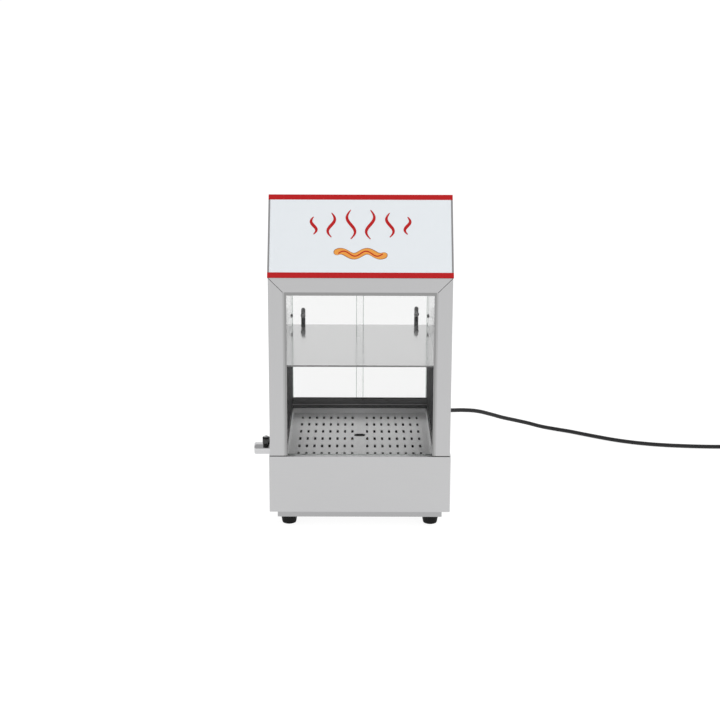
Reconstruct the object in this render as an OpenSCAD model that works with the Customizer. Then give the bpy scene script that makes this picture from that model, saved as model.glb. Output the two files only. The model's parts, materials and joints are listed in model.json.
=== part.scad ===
// Counter-top hot dog steamer: a water bath under a perforated tray, a bun shelf above it,
// two sliding glass doors at the back and a leaning header. Millimetres.
// X runs across, Y from the front plane of the cabinet to the back, Z up from the table.

/* [Base box] */
// Width of the base box
base_w = 300; // [280:1:380]
// Depth of the base box, front to back
base_d = 336; // [320:1:430]
// Height of the base box without pan and feet
base_h = 96.5; // [90:0.5:150]
// How far the base stands out past the cabinet on every side
base_proud = 1.5; // [0.5:0.1:3]
// Sheet thickness of base, pan and outer cabinet
sheet_t = 1.2; // [0.8:0.1:1.6]
// Outside radius of the folded upright corners of the base
base_bend_r = 2.4; // [1.8:0.1:5]
// Thickness of the gasket between base and cabinet
gasket_t = 0.8; // [0.5:0.1:2]

/* [Bottom pan and feet] */
// Height of the pan below the base box
pan_h = 14; // [8:0.5:25]
// Distance of the pan's sides from the base's sides
pan_inset_x = 12.5; // [11:0.5:20]
// Distance of the pan's front and back from the base's front and back
pan_inset_y = 14.5; // [11:0.5:20]
// Height of a rubber foot
foot_h = 17.5; // [12:0.5:30]
// Diameter of a foot at the pan
foot_d = 29; // [24:0.5:34]
// Diameter of a foot at the table
foot_low_d = 24; // [20:0.5:24]
// Distance of a foot's centre from the base's side
foot_inset_x = 31; // [28:1:50]
// Distance of a foot's centre from the base's front or back
foot_inset_y = 36; // [30:1:60]
// Thread diameter of the foot screws
foot_screw_d = 4; // [3:0.5:5]

/* [Cabinet] */
// Height of the cabinet on top of the base, to the lower edge of the header
cab_h = 300; // [270:1:360]
// Face width of the front and rear frame members
frame_w = 23.7; // [18:0.1:32]
// Depth of the frame members
frame_depth = 16; // [12:0.5:24]
// Face width of the glazing bead inside the front frame
bead_w = 5.3; // [3:0.1:8]
// Depth of the glazing bead
bead_depth = 7.4; // [5:0.1:9]
// Sheet thickness of the inner side liners and the ceiling
liner_t = 0.8; // [0.6:0.1:1.2]
// Thickness of the glass panes
glass_t = 4; // [3:0.5:5]

/* [Water tank and tray] */
// Sheet thickness of the tank
tank_t = 0.8; // [0.6:0.1:1.2]
// Height of the basin's floor above the underside of the base
basin_lift = 16.5; // [12:0.5:20]
// Distance of the basin's sides from the well's sides
basin_inset_x = 14; // [8:0.5:30]
// Distance of the basin's front from the well's front
basin_inset_front = 14; // [8:0.5:30]
// Distance of the basin's back from the well's back
basin_inset_back = 24; // [20:0.5:34]
// Depth of the tray's floor below the top of the base
tray_drop = 17; // [12:0.5:22]
// Height of the tray's rim above its floor
tray_rim_h = 10; // [6:0.5:11]
// Sheet thickness of the tray
tray_t = 0.9; // [0.6:0.1:1.5]
// Width of a slot in the tray
slot_w = 4; // [3:0.1:5]
// Length of a slot
slot_l = 16; // [10:0.5:24]
// Pitch of the slots across
slot_pitch_x = 13; // [10:0.5:20]
// Pitch of the rows of slots
slot_pitch_y = 41.6; // [30:0.2:50]
// Distance of the first row's centre from the front of the tray
slot_margin_front = 51.5; // [30:0.5:60]
// Length of the finger hole
finger_l = 20; // [16:0.5:26]
// Width of the finger hole
finger_w = 15.5; // [12:0.5:19]

/* [Bun shelf] */
// Height of the shelf's top above the top of the base
shelf_rise = 151.5; // [110:0.5:200]
// Sheet thickness of the shelf
shelf_t = 1.2; // [0.8:0.1:2]
// Width of the folded hem at the shelf's front and back
hem_w = 7; // [5:0.5:12]
// Width of the ledges under the shelf
ledge_w = 9; // [6:0.5:14]

/* [Sliding doors] */
// How far the closed doors overlap
door_overlap = 13.3; // [8:0.1:20]
// Distance between the two doors' middle planes
door_pitch = 13; // [12.5:0.1:16]
// Height of the lower track's flanges above the cabinet's floor
track_low_h = 5.2; // [4:0.1:8]
// Height of the upper track
track_up_h = 13; // [11.5:0.1:16]
// Length of a door pull
pull_l = 108; // [80:1:140]
// Width of a door pull
pull_w = 7.5; // [6:0.1:10]
// How far a pull stands off its glass
pull_proud = 6.4; // [5:0.1:6.8]
// Height of the top of the pulls above the shelf's top
pull_rise = 27.5; // [10:0.5:40]
// Distance of the pulls from the outer edges of the doors
pull_inset = 19.7; // [12:0.1:40]
// Diameter of the heads of the pull screws
pull_head_d = 9; // [7:0.1:10]
// Distance of the pull screws from the pull's ends
pull_screw_inset = 12; // [8:0.5:20]

/* [Header] */
// Height of the header
header_h = 123; // [90:1:160]
// Lean of the header's front from the vertical, in degrees
header_lean = 30.5; // [15:0.5:40]
// How far the header's ends stand out past the cabinet's sides
header_proud = 1; // [0:0.1:1.5]
// Thickness of the sign panel and its trims
sign_t = 1.2; // [0.8:0.1:2]
// Height of each trim strip along the slope
trim_h = 9; // [5:0.5:15]
// Width of the lips beside the sign panel
lip_w = 3; // [2:0.5:8]

/* [Drain valve] */
// Distance of the valve in front of the cabinet's back plane
drain_back = 85; // [78:1:118]
// Height of the drain's axis above the basin's floor
drain_rise = 12; // [11.5:0.1:14]
// Outer diameter of the drain pipe
pipe_d = 13.2; // [10:0.1:14]
// Bore of the pipe and of the valve
pipe_bore = 9; // [6:0.1:9.2]
// Length of the valve outside the base
valve_l = 41; // [38:0.5:60]
// Diameter of the valve's barrel
valve_d = 22; // [19:0.5:25]
// Distance of the ball's centre from the base's side
ball_out = 20; // [18:0.5:22]
// Diameter of the ball
ball_d = 14; // [12.6:0.1:15]
// Diameter of the stem
stem_d = 6; // [4:0.1:7]
// Length of the lever from the stem's axis to its tip
lever_l = 36; // [28:1:60]
// Diameter of the lever's hub
lever_hub_d = 13; // [11:0.5:18]
// Width of the lever at its tip
lever_tip_w = 7; // [5:0.5:11]

/* [Heating element] */
// Diameter of the element's tube
rod_d = 8; // [6:0.1:9]
// Height of the element's axis above the basin's floor
rod_rise = 15; // [11:0.5:24]
// Bend radius of the element
rod_bend_r = 15; // [12:0.5:20]
// Distance between the two ends of the element
rod_ends = 40; // [30:1:60]
// Width of the element's loop
rod_loop_w = 160; // [140:1:190]

/* [Controls] */
// Height of the controls above the underside of the base
control_rise = 48.5; // [42:0.5:52]
// Distance of the thermostat's axis from the centre plane
knob_x = 60; // [45:1:90]
// Diameter of the thermostat knob
knob_d = 42; // [34:0.5:48]
// Height of the knob
knob_h = 20; // [16:0.5:28]
// Diameter of the thermostat's shaft
shaft_d = 6; // [4:0.1:7]
// Distance of the switch from the centre plane
switch_x = 62; // [50:1:72]
// Width of the switch's bezel
switch_w = 22; // [18:0.5:26]
// Height of the switch's bezel
switch_h = 31; // [26:0.5:36]
// Distance of the pilot lamp from the centre plane
lamp_x = 24; // [15:1:34]
// Diameter of the pilot lamp's bezel
lamp_d = 14; // [10:0.5:18]

/* [Mains lead] */
// Diameter of the lead
cord_d = 7.8; // [6:0.1:8]
// Distance of the lead's exit from the base's side
cord_inset = 35; // [32:1:38]
// Height of the lead's exit above the table
cord_z = 84; // [82:1:88]
// Length of the tapered strain relief
relief_l = 28; // [22:0.5:28]
// Gap between neighbouring turns and layers of the coil
turn_gap = 0.8; // [0.5:0.1:1.5]

/* [Hidden] */
$fn = 48;

// Play of loose holes, of screw holes, and the small gaps at which sheets lie on each other
hole_play = 0.4;
screw_play = 0.5;
sheet_gap = 0.3;
seat_gap = 0.1;

// Levels and planes
base_front = -base_proud;
base_back = base_front + base_d;
base_half = base_w/2;
base_z = foot_h + pan_h;
base_top = base_z + base_h;
cab_half = base_half - base_proud;
cab_d = base_d - 2*base_proud;
cab_z = base_top + gasket_t;
cab_top = base_top + cab_h;
ceiling_z = cab_top - frame_w;
inner_half = cab_half - frame_w - liner_t;
bead_gap = 0.6;
pane_gap = 0.2;
pane_y = bead_gap + bead_depth + pane_gap;
pane_back = pane_y + glass_t;
foot_well_h = 8;

// Doors and their track
track_t = 1.2;
track_play = 2.7;
rear_clear = 4.1;
door_back_y = cab_d - rear_clear - track_t - track_play - glass_t/2;
door_front_y = door_back_y - door_pitch;
track_y0 = door_front_y - glass_t/2 - track_play;
track_y1 = door_back_y + glass_t/2 + track_play;
door_side_gap = 0.8;
door_foot_gap = 0.4;
door_head_gap = 5.8;
door_z0 = cab_z + track_t + door_foot_gap;
door_z1 = ceiling_z - track_t - door_head_gap;
door_outer = inner_half - door_side_gap;
pull_x = door_outer - pull_inset;
pull_z1 = base_top + shelf_rise + pull_rise;
pull_z0 = pull_z1 - pull_l;

// Well, basin and tray
well_gap = 1.6;
well_r = 2;
basin_r = 12;
well_y0 = pane_back + well_gap;
well_y1 = track_y0 - track_t;
ledge_z = base_top - tray_drop - tray_t - seat_gap;
basin_half = inner_half - basin_inset_x;
basin_y0 = well_y0 + basin_inset_front;
basin_y1 = well_y1 - basin_inset_back;
basin_z = base_z + basin_lift;
basin_floor = basin_z + tank_t;
tray_gap = 1.2;
tray_side_gap = 0.8;
tray_r = 3;
tray_half = inner_half - tray_side_gap;
tray_y0 = well_y0 + tray_gap;
tray_y1 = well_y1 - tray_gap;
tray_z = base_top - tray_drop;
slot_rows = floor((tray_y1 - tray_y0 - slot_margin_front - slot_l)/slot_pitch_y) + 1;
slot_margin_side = 10;
slot_cols = floor((tray_half - slot_margin_side - slot_w)/slot_pitch_x);
finger_y = tray_y0 + slot_margin_front + slot_pitch_y*(slot_rows - 1)/2;

// Bun shelf, narrow enough to lift past the screw heads in the side walls
wall_head_d = 7;
wall_head_h = 2.2;
shelf_z = base_top + shelf_rise;
lift_gap = 0.4;
shelf_front_gap = 2.4;
shelf_back_gap = 1.2;
shelf_side_gap = wall_head_h + lift_gap;
shelf_y0 = pane_back + shelf_front_gap;
shelf_y1 = track_y0 - track_t - shelf_back_gap;
wall_screw_inset = 6;
wall_screw_rise = 17.5;
wall_screw_y = shelf_y1 - wall_screw_inset;
wall_screw_z = shelf_z + wall_screw_rise;

// Header
header_foot_z = cab_top;
header_half = cab_half + header_proud;
ridge_y = header_h*tan(header_lean);
ridge_z = header_foot_z + header_h;
slope_l = header_h/cos(header_lean);
end_t = 1;
foot_fold = 14;
header_path = [[foot_fold, header_foot_z], [0, header_foot_z], [ridge_y, ridge_z], [cab_d, header_foot_z],
    [cab_d - foot_fold, header_foot_z]];
case_head_d = 6.5;
case_head_h = 2;

// Drain and valve
drain_y = cab_d - drain_back;
drain_z = basin_floor + drain_rise;
seal_t = 1.5;
washer_t = 1;
pipe_out = 8;
pipe_end_x = -base_half - pipe_out;
valve_x = -base_half - ball_out;
valve_end = -base_half - valve_l;
ball_gap = 0.3;
barrel_top = drain_z + valve_d/2;
bonnet_d = stem_d + 3;
bonnet_h = 2.5;
bonnet_z = barrel_top + bonnet_h;
lever_rise = 4;
lever_z = barrel_top + lever_rise;
lever_t = 6;
skirt_gap = 0.4;

// Element and the thermostat's bulb
rod_z = basin_floor + rod_rise;
rod_neck_d = rod_d + 3;
bulb_z = rod_z + 12;
bulb_d = 6;
bulb_l = 69;
bulb_neck_d = 8;

// Controls on the back of the base
control_z = base_z + control_rise;
thermostat_deep = 20;
thermostat_y1 = base_back - sheet_t - sheet_gap;
thermostat_y0 = thermostat_y1 - thermostat_deep;
shaft_seat = 4;
shaft_gap = 0.05;
bushing_d = 10;
bushing_l = 3.6;
knob_gap = 0.4;
knob_y0 = base_back + bushing_l + knob_gap;
pointer_h = 0.4;
switch_rim = 2;
switch_wall = 1.5;
rocker_pin_d = 2.4;
rocker_pin_in = 0.8;
rocker_tilt = 7;
rocker_in = 3;
rocker_axis_y = base_back - rocker_in;
lamp_body_d = lamp_d - 4;
relief_neck_d = cord_d + 6;

// The frame's origin is the middle of the object's footprint, lead left out
object_right = max(base_half, header_half + case_head_h);
object_back = knob_y0 + knob_h + pointer_h;
centre_x = (object_right + valve_end)/2;
centre_y = (base_front + object_back)/2;

// Lead: the route's points, chosen by hand, from the strain relief to the coil
cord_r = cord_d/2;
cord_x = base_half - cord_inset;
cord_stub = 0.5;
relief_y1 = base_back + relief_l + cord_stub;
tie_t = 1;
tie_gap = 0.3;
tie_lift = 0.3;
coil_z = cord_r + tie_gap + tie_t + tie_lift;
turn_pitch = cord_d + turn_gap;
coil_turns = 2;
coil_step = 24;
lead_out_steps = 6;
coil_r_out = 45;
coil_x = 758;
coil_y = 391;
plug_x = coil_x + 47;
plug_y = coil_y + coil_r_out + 7;
plug_z = 12;
cord_route = [[cord_x, relief_y1, cord_z], [cord_x, relief_y1 + cord_d, cord_z], [120, 392, 84],
    [132, 410, 83], [150, 425, 80], [178, 443, 75], [204, 461, 70], [232, 478, 63], [260, 497, 51],
    [286, 514, 39], [312, 529, 29], [340, 540, 19.5], [368, 546, 10.5], [396, 545, 5.5], [424, 533, 4.2],
    [448, 516, 4.2], [474, 498, 4.2], [502, 480, 4.2], [532, 465, 4.2], [566, 453, 4.2], [600, 445, 4.2],
    [636, 440, 4.2], [670, 437, 4.2], [704, 436, 4.2], [730, 436, 4.8],
    [coil_x - cord_d, coil_y + coil_r_out, coil_z]];

// A box between two opposite corners
module span(low, high) {
    translate(low) cube(high - low);
}

// An outline in X and Y with round corners
module round_rect(x0, x1, y0, y1, r) {
    translate([x0 + r, y0]) square([x1 - x0 - 2*r, y1 - y0]);
    translate([x0, y0 + r]) square([x1 - x0, y1 - y0 - 2*r]);
    for (x = [x0 + r, x1 - r], y = [y0 + r, y1 - r]) translate([x, y]) circle(r);
}

// An upright prism with round corners
module round_block(x0, x1, y0, y1, z0, z1, r) {
    translate([0, 0, z0]) linear_extrude(z1 - z0) round_rect(x0, x1, y0, y1, r);
}

// Extrudes an outline given in Y and Z along X
module along_x(x0, x1) {
    translate([x0, 0, 0]) rotate([90, 0, 90]) linear_extrude(x1 - x0) children();
}

// Extrudes an outline given in X and Z along Y
module along_y(y0, y1) {
    translate([0, y1, 0]) rotate([90, 0, 0]) linear_extrude(y1 - y0) children();
}

// A round bar along each axis
module bar_x(x0, x1, y, z, d) {
    translate([x0, y, z]) rotate([0, 90, 0]) cylinder(h = x1 - x0, d = d);
}

module bar_y(x, y0, y1, z, d) {
    translate([x, y1, z]) rotate([90, 0, 0]) cylinder(h = y1 - y0, d = d);
}

module bar_z(x, y, z0, z1, d) {
    translate([x, y, z0]) cylinder(h = z1 - z0, d = d);
}

// A hexagon prism, flats facing up and down when it lies along X or Y
module hex_x(x0, x1, y, z, flats) {
    translate([x0, y, z]) rotate([0, 90, 0]) rotate(30) cylinder(h = x1 - x0, d = flats/cos(30), $fn = 6);
}

module hex_y(x, y0, y1, z, flats) {
    translate([x, y1, z]) rotate([90, 0, 0]) cylinder(h = y1 - y0, d = flats/cos(30), $fn = 6);
}

// A pan head with a cross recess, resting on z = 0
module pan_head(d, h) {
    difference() {
        rotate_extrude() polygon([[0, 0], [d/2, 0], [d/2, h*0.4], [d*0.42, h*0.75], [d*0.26, h], [0, h]]);
        for (a = [0, 90]) rotate(a) translate([-d*0.25, -d*0.05, h*0.5]) cube([d*0.5, d*0.1, h]);
    }
}

// Places a child on the left and, mirrored, on the right
module both_sides() {
    children();
    mirror([1, 0, 0]) children();
}

// Outline of a folded sheet: the path is its outer face, the thickness lies to its right
function unit(v) = v/norm(v);
function right_of(v) = [v[1], -v[0]];
function fold_inner(path, t, i) =
    let (
        last = len(path) - 1,
        n0 = right_of(unit(path[max(i, 1)] - path[max(i, 1) - 1])),
        n1 = right_of(unit(path[min(i, last - 1) + 1] - path[min(i, last - 1)])))
    path[i] + t*(n0 + n1)/(1 + n0*n1);
function folded(path, t) = concat(path, [for (i = [len(path) - 1:-1:0]) fold_inner(path, t, i)]);

// Base box

module control_cutouts() {
    y0 = base_back - 5;
    y1 = base_back + 5;
    half_w = switch_w/2 - switch_rim + hole_play;
    half_h = switch_h/2 - switch_rim + hole_play;
    bar_y(-knob_x, y0, y1, control_z, bushing_d + hole_play);
    bar_y(-lamp_x, y0, y1, control_z, lamp_body_d + hole_play);
    span([switch_x - half_w, y0, control_z - half_h], [switch_x + half_w, y1, control_z + half_h]);
    bar_y(cord_x, y0, y1, cord_z, relief_neck_d + hole_play);
}

module base_shell() {
    t = sheet_t;
    pan_x = base_half - pan_inset_x + sheet_gap;
    color("lightgray") difference() {
        round_block(-base_half, base_half, base_front, base_back, base_z, base_top, base_bend_r);
        round_block(-base_half + t, base_half - t, base_front + t, base_back - t,
            base_z + t, base_top - t, base_bend_r - t);
        round_block(-inner_half, inner_half, well_y0, well_y1, base_top - 2*t, base_top + 1, well_r);
        span([-pan_x, base_front + pan_inset_y - sheet_gap, base_z - 1],
            [pan_x, base_back - pan_inset_y + sheet_gap, base_z + 2*t]);
        bar_x(-base_half - 1, -base_half + 5, drain_y, drain_z, pipe_d + 2*sheet_gap);
        control_cutouts();
    }
}

module foot_places() {
    for (x = [-1, 1]) {
        translate([x*(base_half - foot_inset_x), base_front + foot_inset_y, 0]) children();
        translate([x*(base_half - foot_inset_x), base_back - foot_inset_y, 0]) children();
    }
}

module bottom_pan() {
    t = sheet_t;
    x = base_half - pan_inset_x;
    y0 = base_front + pan_inset_y;
    y1 = base_back - pan_inset_y;
    lip = 7;
    fold_play = 0.05;
    vent_l = base_half*0.4;
    vent_w = 4;
    vent_x = base_half/3;
    vent_pitch = 12;
    color("darkgray") difference() {
        union() {
            round_block(-x, x, y0, y1, foot_h, base_z + 2*t, base_bend_r);
            round_block(-x - lip, x + lip, y0 - lip, y1 + lip, base_z + t + fold_play, base_z + 2*t, base_bend_r);
        }
        round_block(-x + t, x - t, y0 + t, y1 - t, foot_h + t, base_z + 3*t, base_bend_r - t);
        foot_places() bar_z(0, 0, foot_h - 1, foot_h + 3, foot_screw_d + screw_play);
        for (side = [-1, 1], k = [-2:2])
            translate([side*vent_x, (y0 + y1)/2 + k*vent_pitch, foot_h - 1])
                linear_extrude(t + 2) round_rect(-vent_l/2, vent_l/2, -vent_w/2, vent_w/2, vent_w*0.475);
    }
}

module feet() {
    r1 = foot_d/2;
    r0 = foot_low_d/2;
    well_d = foot_screw_d + 7;
    color("black") foot_places() difference() {
        rotate_extrude() {
            polygon([[0, 0], [r0 - 2.5, 0], [r0 - 0.7, 0.8], [r0, 2.6], [r1 - 0.6, foot_h - 3.4],
                [r1, foot_h - 2.6], [r1, foot_h], [0, foot_h]]);
        }
        bar_z(0, 0, -1, foot_well_h, well_d);
        bar_z(0, 0, -1, foot_h + 1, foot_screw_d + screw_play);
    }
}

module foot_screws() {
    head_h = 2.6;
    nut_h = 3.2;
    past_nut = 1.5;
    pan_floor = foot_h + sheet_t;
    color("silver") foot_places() {
        translate([0, 0, foot_well_h]) mirror([0, 0, 1]) pan_head(foot_screw_d*2, head_h);
        bar_z(0, 0, foot_well_h, pan_floor + nut_h + past_nut, foot_screw_d);
        translate([0, 0, pan_floor]) difference() {
            cylinder(h = nut_h, d = foot_screw_d*1.75/cos(30), $fn = 6);
            bar_z(0, 0, -1, nut_h + 1, foot_screw_d);
        }
    }
}

module base_gasket() {
    color("dimgray") difference() {
        span([-cab_half, 0, base_top], [cab_half, cab_d, cab_z]);
        span([-inner_half, -1, base_top - 1], [inner_half, well_y1, cab_z + 1]);
    }
}

// Water bath

module water_tank() {
    t = tank_t;
    flange = 9;
    flange_z = base_top - sheet_t;
    color("silver") difference() {
        union() {
            round_block(-inner_half - flange, inner_half + flange, well_y0 - flange, well_y1 + flange,
                flange_z - t, flange_z, 4);
            round_block(-inner_half - t, inner_half + t, well_y0 - t, well_y1 + t, ledge_z - t, flange_z, well_r + t);
            round_block(-basin_half, basin_half, basin_y0, basin_y1, basin_z, ledge_z, basin_r);
        }
        round_block(-inner_half, inner_half, well_y0, well_y1, ledge_z, base_top + 1, well_r);
        round_block(-basin_half + t, basin_half - t, basin_y0 + t, basin_y1 - t, basin_floor, ledge_z + 1,
            basin_r - t);
        bar_x(-basin_half - 1, -basin_half + 2, drain_y, drain_z, pipe_d + hole_play);
        for (s = [-1, 1]) bar_y(s*rod_ends/2, basin_y1 - 3, basin_y1 + 1, rod_z, rod_neck_d + hole_play);
        bar_y(-knob_x, basin_y1 - 3, basin_y1 + 1, bulb_z, bulb_neck_d + hole_play);
    }
}

// Quarter bend of the element, from heading -Y to heading across
module rod_bend(x, y, turn) {
    translate([x, y, 0]) rotate(turn) rotate_extrude(angle = 90, $fn = 64) translate([rod_bend_r, 0]) circle(d = rod_d);
}

module heating_element() {
    r = rod_bend_r;
    half = rod_loop_w/2;
    y_end = basin_y1 + 22;
    y_neck = basin_y1 - 18;
    y_back = y_neck - r;
    y_tip = basin_y0 + 30;
    tab_t = 0.8;
    tab_w = 6;
    tab_l = 9;
    color("dimgray") translate([0, 0, rod_z]) {
        both_sides() {
            bar_y(rod_ends/2, y_neck, y_end, 0, rod_d);
            rod_bend(rod_ends/2 + r, y_neck, 180);
            bar_x(rod_ends/2 + r, half - r, y_back, 0, rod_d);
            rod_bend(half - r, y_back - r, 0);
            bar_y(half, y_tip + r, y_back - r, 0, rod_d);
            rod_bend(half - r, y_tip + r, 270);
            span([rod_ends/2 - tab_w/2, y_end - 2, -tab_t/2], [rod_ends/2 + tab_w/2, y_end + tab_l, tab_t/2]);
        }
        bar_x(-half + r, half - r, y_tip, 0, rod_d);
    }
}

module element_bushings() {
    flange_l = 2.5;
    nut_l = 5;
    inside = basin_y1 - tank_t;
    color("goldenrod") for (x = [-rod_ends/2, rod_ends/2]) difference() {
        union() {
            bar_y(x, inside - flange_l, basin_y1 + nut_l, rod_z, rod_neck_d);
            bar_y(x, inside - flange_l, inside, rod_z, rod_neck_d + 6);
            hex_y(x, basin_y1, basin_y1 + nut_l, rod_z, rod_neck_d + 5);
        }
        bar_y(x, inside - flange_l - 1, basin_y1 + nut_l + 1, rod_z, rod_d);
    }
}

module element_clips() {
    y = (basin_y0 + basin_y1)/2;
    x = rod_loop_w/2;
    wide = rod_d + 5;
    thick = 1.5;
    sole_l = 10;
    color("silver") both_sides() difference() {
        union() {
            span([x - wide/2, y, basin_floor], [x + wide/2, y + thick, rod_z]);
            bar_y(x, y, y + thick, rod_z, wide);
            span([x - wide/2, y, basin_floor], [x + wide/2, y + sole_l, basin_floor + thick]);
        }
        bar_y(x, y - 1, y + thick + 1, rod_z, rod_d);
    }
}

// Drain

module drain_pipe() {
    x1 = -basin_half + 10;
    color("silver") difference() {
        bar_x(pipe_end_x, x1, drain_y, drain_z, pipe_d);
        bar_x(pipe_end_x - 1, x1 + 1, drain_y, drain_z, pipe_bore);
    }
}

module drain_nuts() {
    nut_l = 5;
    floor_gap = 0.7;
    flats = 2*(drain_rise - floor_gap);
    color("silver") for (x = [-basin_half + tank_t, -basin_half - nut_l - seal_t]) difference() {
        hex_x(x, x + nut_l, drain_y, drain_z, flats);
        bar_x(x - 1, x + nut_l + 1, drain_y, drain_z, pipe_d);
    }
}

module drain_seals() {
    color("firebrick") {
        difference() {
            bar_x(-basin_half - seal_t, -basin_half, drain_y, drain_z, pipe_d + 7);
            bar_x(-basin_half - seal_t - 1, -basin_half + 1, drain_y, drain_z, pipe_d);
        }
        difference() {
            bar_x(-base_half - washer_t, -base_half, drain_y, drain_z, pipe_d + 9);
            bar_x(-base_half - washer_t - 1, -base_half + 1, drain_y, drain_z, pipe_d);
        }
    }
}

module valve_body() {
    x0 = -base_half - washer_t;
    hex_l = 5;
    barrel_l = valve_l - washer_t - hex_l;
    mouth_l = 9;
    color("silver") difference() {
        union() {
            hex_x(x0 - hex_l, x0, drain_y, drain_z, valve_d + 2);
            translate([x0 - hex_l, drain_y, drain_z]) rotate([0, -90, 0]) rotate_extrude()
                polygon([[0, 0], [valve_d/2 - 2, 0], [valve_d/2 - 2, 1.5], [valve_d/2, 3],
                    [valve_d/2, barrel_l - 2], [valve_d/2 - 1.2, barrel_l], [0, barrel_l]]);
            bar_z(valve_x, drain_y, drain_z, bonnet_z, bonnet_d);
        }
        bar_x(pipe_end_x, x0 + 1, drain_y, drain_z, pipe_d);
        bar_x(valve_end - 1, x0 + 1, drain_y, drain_z, pipe_bore);
        translate([valve_x, drain_y, drain_z]) sphere(d = ball_d + 2*ball_gap, $fn = 64);
        bar_z(valve_x, drain_y, drain_z, bonnet_z + 1, stem_d + 2*shaft_gap);
        bar_x(valve_end - 1, valve_end + mouth_l, drain_y, drain_z, pipe_bore + 3);
    }
}

module valve_ball() {
    flat_z = ball_d/2 - 1.6;
    color("silver") translate([valve_x, drain_y, drain_z]) difference() {
        sphere(d = ball_d, $fn = 64);
        rotate([90, 0, 0]) cylinder(h = 2*ball_d, d = pipe_bore - 1, center = true);
        span([-ball_d, -ball_d, flat_z], [ball_d, ball_d, ball_d]);
    }
}

module valve_stem() {
    z0 = drain_z + ball_d/2 - 1.6;
    color("silver") {
        bar_z(valve_x, drain_y, z0, lever_z - 0.5, stem_d);
        span([valve_x - stem_d*0.35, drain_y - stem_d*0.35, lever_z - 0.5],
            [valve_x + stem_d*0.35, drain_y + stem_d*0.35, lever_z + lever_t - 1]);
    }
}

module valve_lever() {
    hub_r = lever_hub_d/2;
    tip_r = lever_tip_w/2;
    reach = lever_l - tip_r;
    color([0.06, 0.06, 0.06]) translate([valve_x, drain_y, lever_z]) difference() {
        union() {
            translate([0, 0, barrel_top + skirt_gap - lever_z])
                cylinder(h = lever_z + lever_t - barrel_top - skirt_gap, r = hub_r);
            linear_extrude(lever_t - 1) polygon([[-hub_r*0.86, -hub_r*0.5], [hub_r*0.86, -hub_r*0.5],
                [tip_r, -reach], [-tip_r, -reach]]);
            translate([0, -reach, -3]) cylinder(h = lever_t + 2, r = tip_r);
            translate([-tip_r, -reach, -3]) cube([lever_tip_w, 7, 4]);
        }
        translate([-stem_d*0.36, -stem_d*0.36, -1]) cube([stem_d*0.72, stem_d*0.72, lever_t + 2]);
        bar_z(0, 0, barrel_top - lever_z, 0, bonnet_d + 2*skirt_gap);
    }
}

module lever_screw() {
    head_d = lever_hub_d*8/13;
    head_h = 2.8;
    color("silver") translate([valve_x, drain_y, lever_z + lever_t]) pan_head(head_d, head_h);
}

// Perforated tray

module slot_shape() {
    r = slot_w/2;
    translate([-r, -slot_l/2 + r]) square([slot_w, slot_l - slot_w]);
    for (s = [-1, 1]) translate([0, s*(slot_l/2 - r)]) circle(r, $fn = 16);
}

module perforated_tray() {
    color("silver") translate([0, 0, tray_z - tray_t]) linear_extrude(tray_t) difference() {
        round_rect(-tray_half, tray_half, tray_y0, tray_y1, tray_r);
        for (row = [0:slot_rows - 1], col = [-slot_cols:slot_cols]) if (col != 0)
            translate([col*slot_pitch_x, tray_y0 + slot_margin_front + row*slot_pitch_y]) slot_shape();
        translate([0, finger_y]) round_rect(-finger_l/2, finger_l/2, -finger_w/2, finger_w/2, finger_w*0.45);
    }
}

module tray_rim() {
    bead = 2.4;
    z1 = tray_z + tray_rim_h;
    color("gainsboro") difference() {
        round_block(-tray_half, tray_half, tray_y0, tray_y1, tray_z, z1, tray_r);
        round_block(-tray_half + tray_t, tray_half - tray_t, tray_y0 + tray_t, tray_y1 - tray_t,
            tray_z - 1, z1 - bead, tray_r - tray_t);
        round_block(-tray_half + bead, tray_half - bead, tray_y0 + bead, tray_y1 - bead, tray_z - 1, z1 + 1, 1);
    }
}

// Cabinet frame

// Upright channel with a mitred top, drawn for the right side of the front
module post() {
    t = sheet_t;
    x0 = cab_half - frame_w;
    difference() {
        along_y(0, frame_depth) polygon([[x0, cab_z], [cab_half, cab_z], [cab_half, cab_top], [x0, ceiling_z]]);
        span([x0 + t, t, cab_z - 1], [cab_half - t, frame_depth + 1, cab_top + 1]);
    }
}

// Top channel with a mitre at each end, drawn for the front
module top_member() {
    t = sheet_t;
    x0 = cab_half - frame_w;
    difference() {
        along_y(0, frame_depth) polygon([[-x0, ceiling_z], [x0, ceiling_z], [cab_half, cab_top], [-cab_half, cab_top]]);
        span([-cab_half - 1, t, ceiling_z + t], [cab_half + 1, frame_depth + 1, cab_top - t]);
    }
}

// Turns a piece of the front frame into its mirror image at the back
module at_back() {
    translate([0, cab_d, 0]) mirror([0, 1, 0]) children();
}

module front_frame_left() {
    color("lightgray") mirror([1, 0, 0]) post();
}

module front_frame_right() {
    color("lightgray") post();
}

module front_frame_top() {
    color("lightgray") top_member();
}

module rear_frame_left() {
    color("lightgray") at_back() mirror([1, 0, 0]) post();
}

module rear_frame_right() {
    color("lightgray") at_back() post();
}

module rear_frame_top() {
    color("lightgray") at_back() top_member();
}

module glass_bead() {
    x1 = inner_half + liner_t;
    x0 = x1 - bead_w;
    z1 = ceiling_z;
    z0 = z1 - bead_w;
    y1 = bead_gap + bead_depth;
    mitre = 0.05;
    color("gray") {
        both_sides() along_y(bead_gap, y1)
            polygon([[x0, cab_z], [x1, cab_z], [x1, z1 - mitre], [x0, z0 - mitre]]);
        along_y(bead_gap, y1) polygon([[-x0, z0], [x0, z0], [x1, z1], [-x1, z1]]);
    }
}

module front_glass() {
    gap = sheet_gap;
    color([0.8, 0.9, 0.9, 0.3])
        span([-inner_half + gap, pane_y, base_top + gap], [inner_half - gap, pane_back, ceiling_z - gap]);
}

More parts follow.
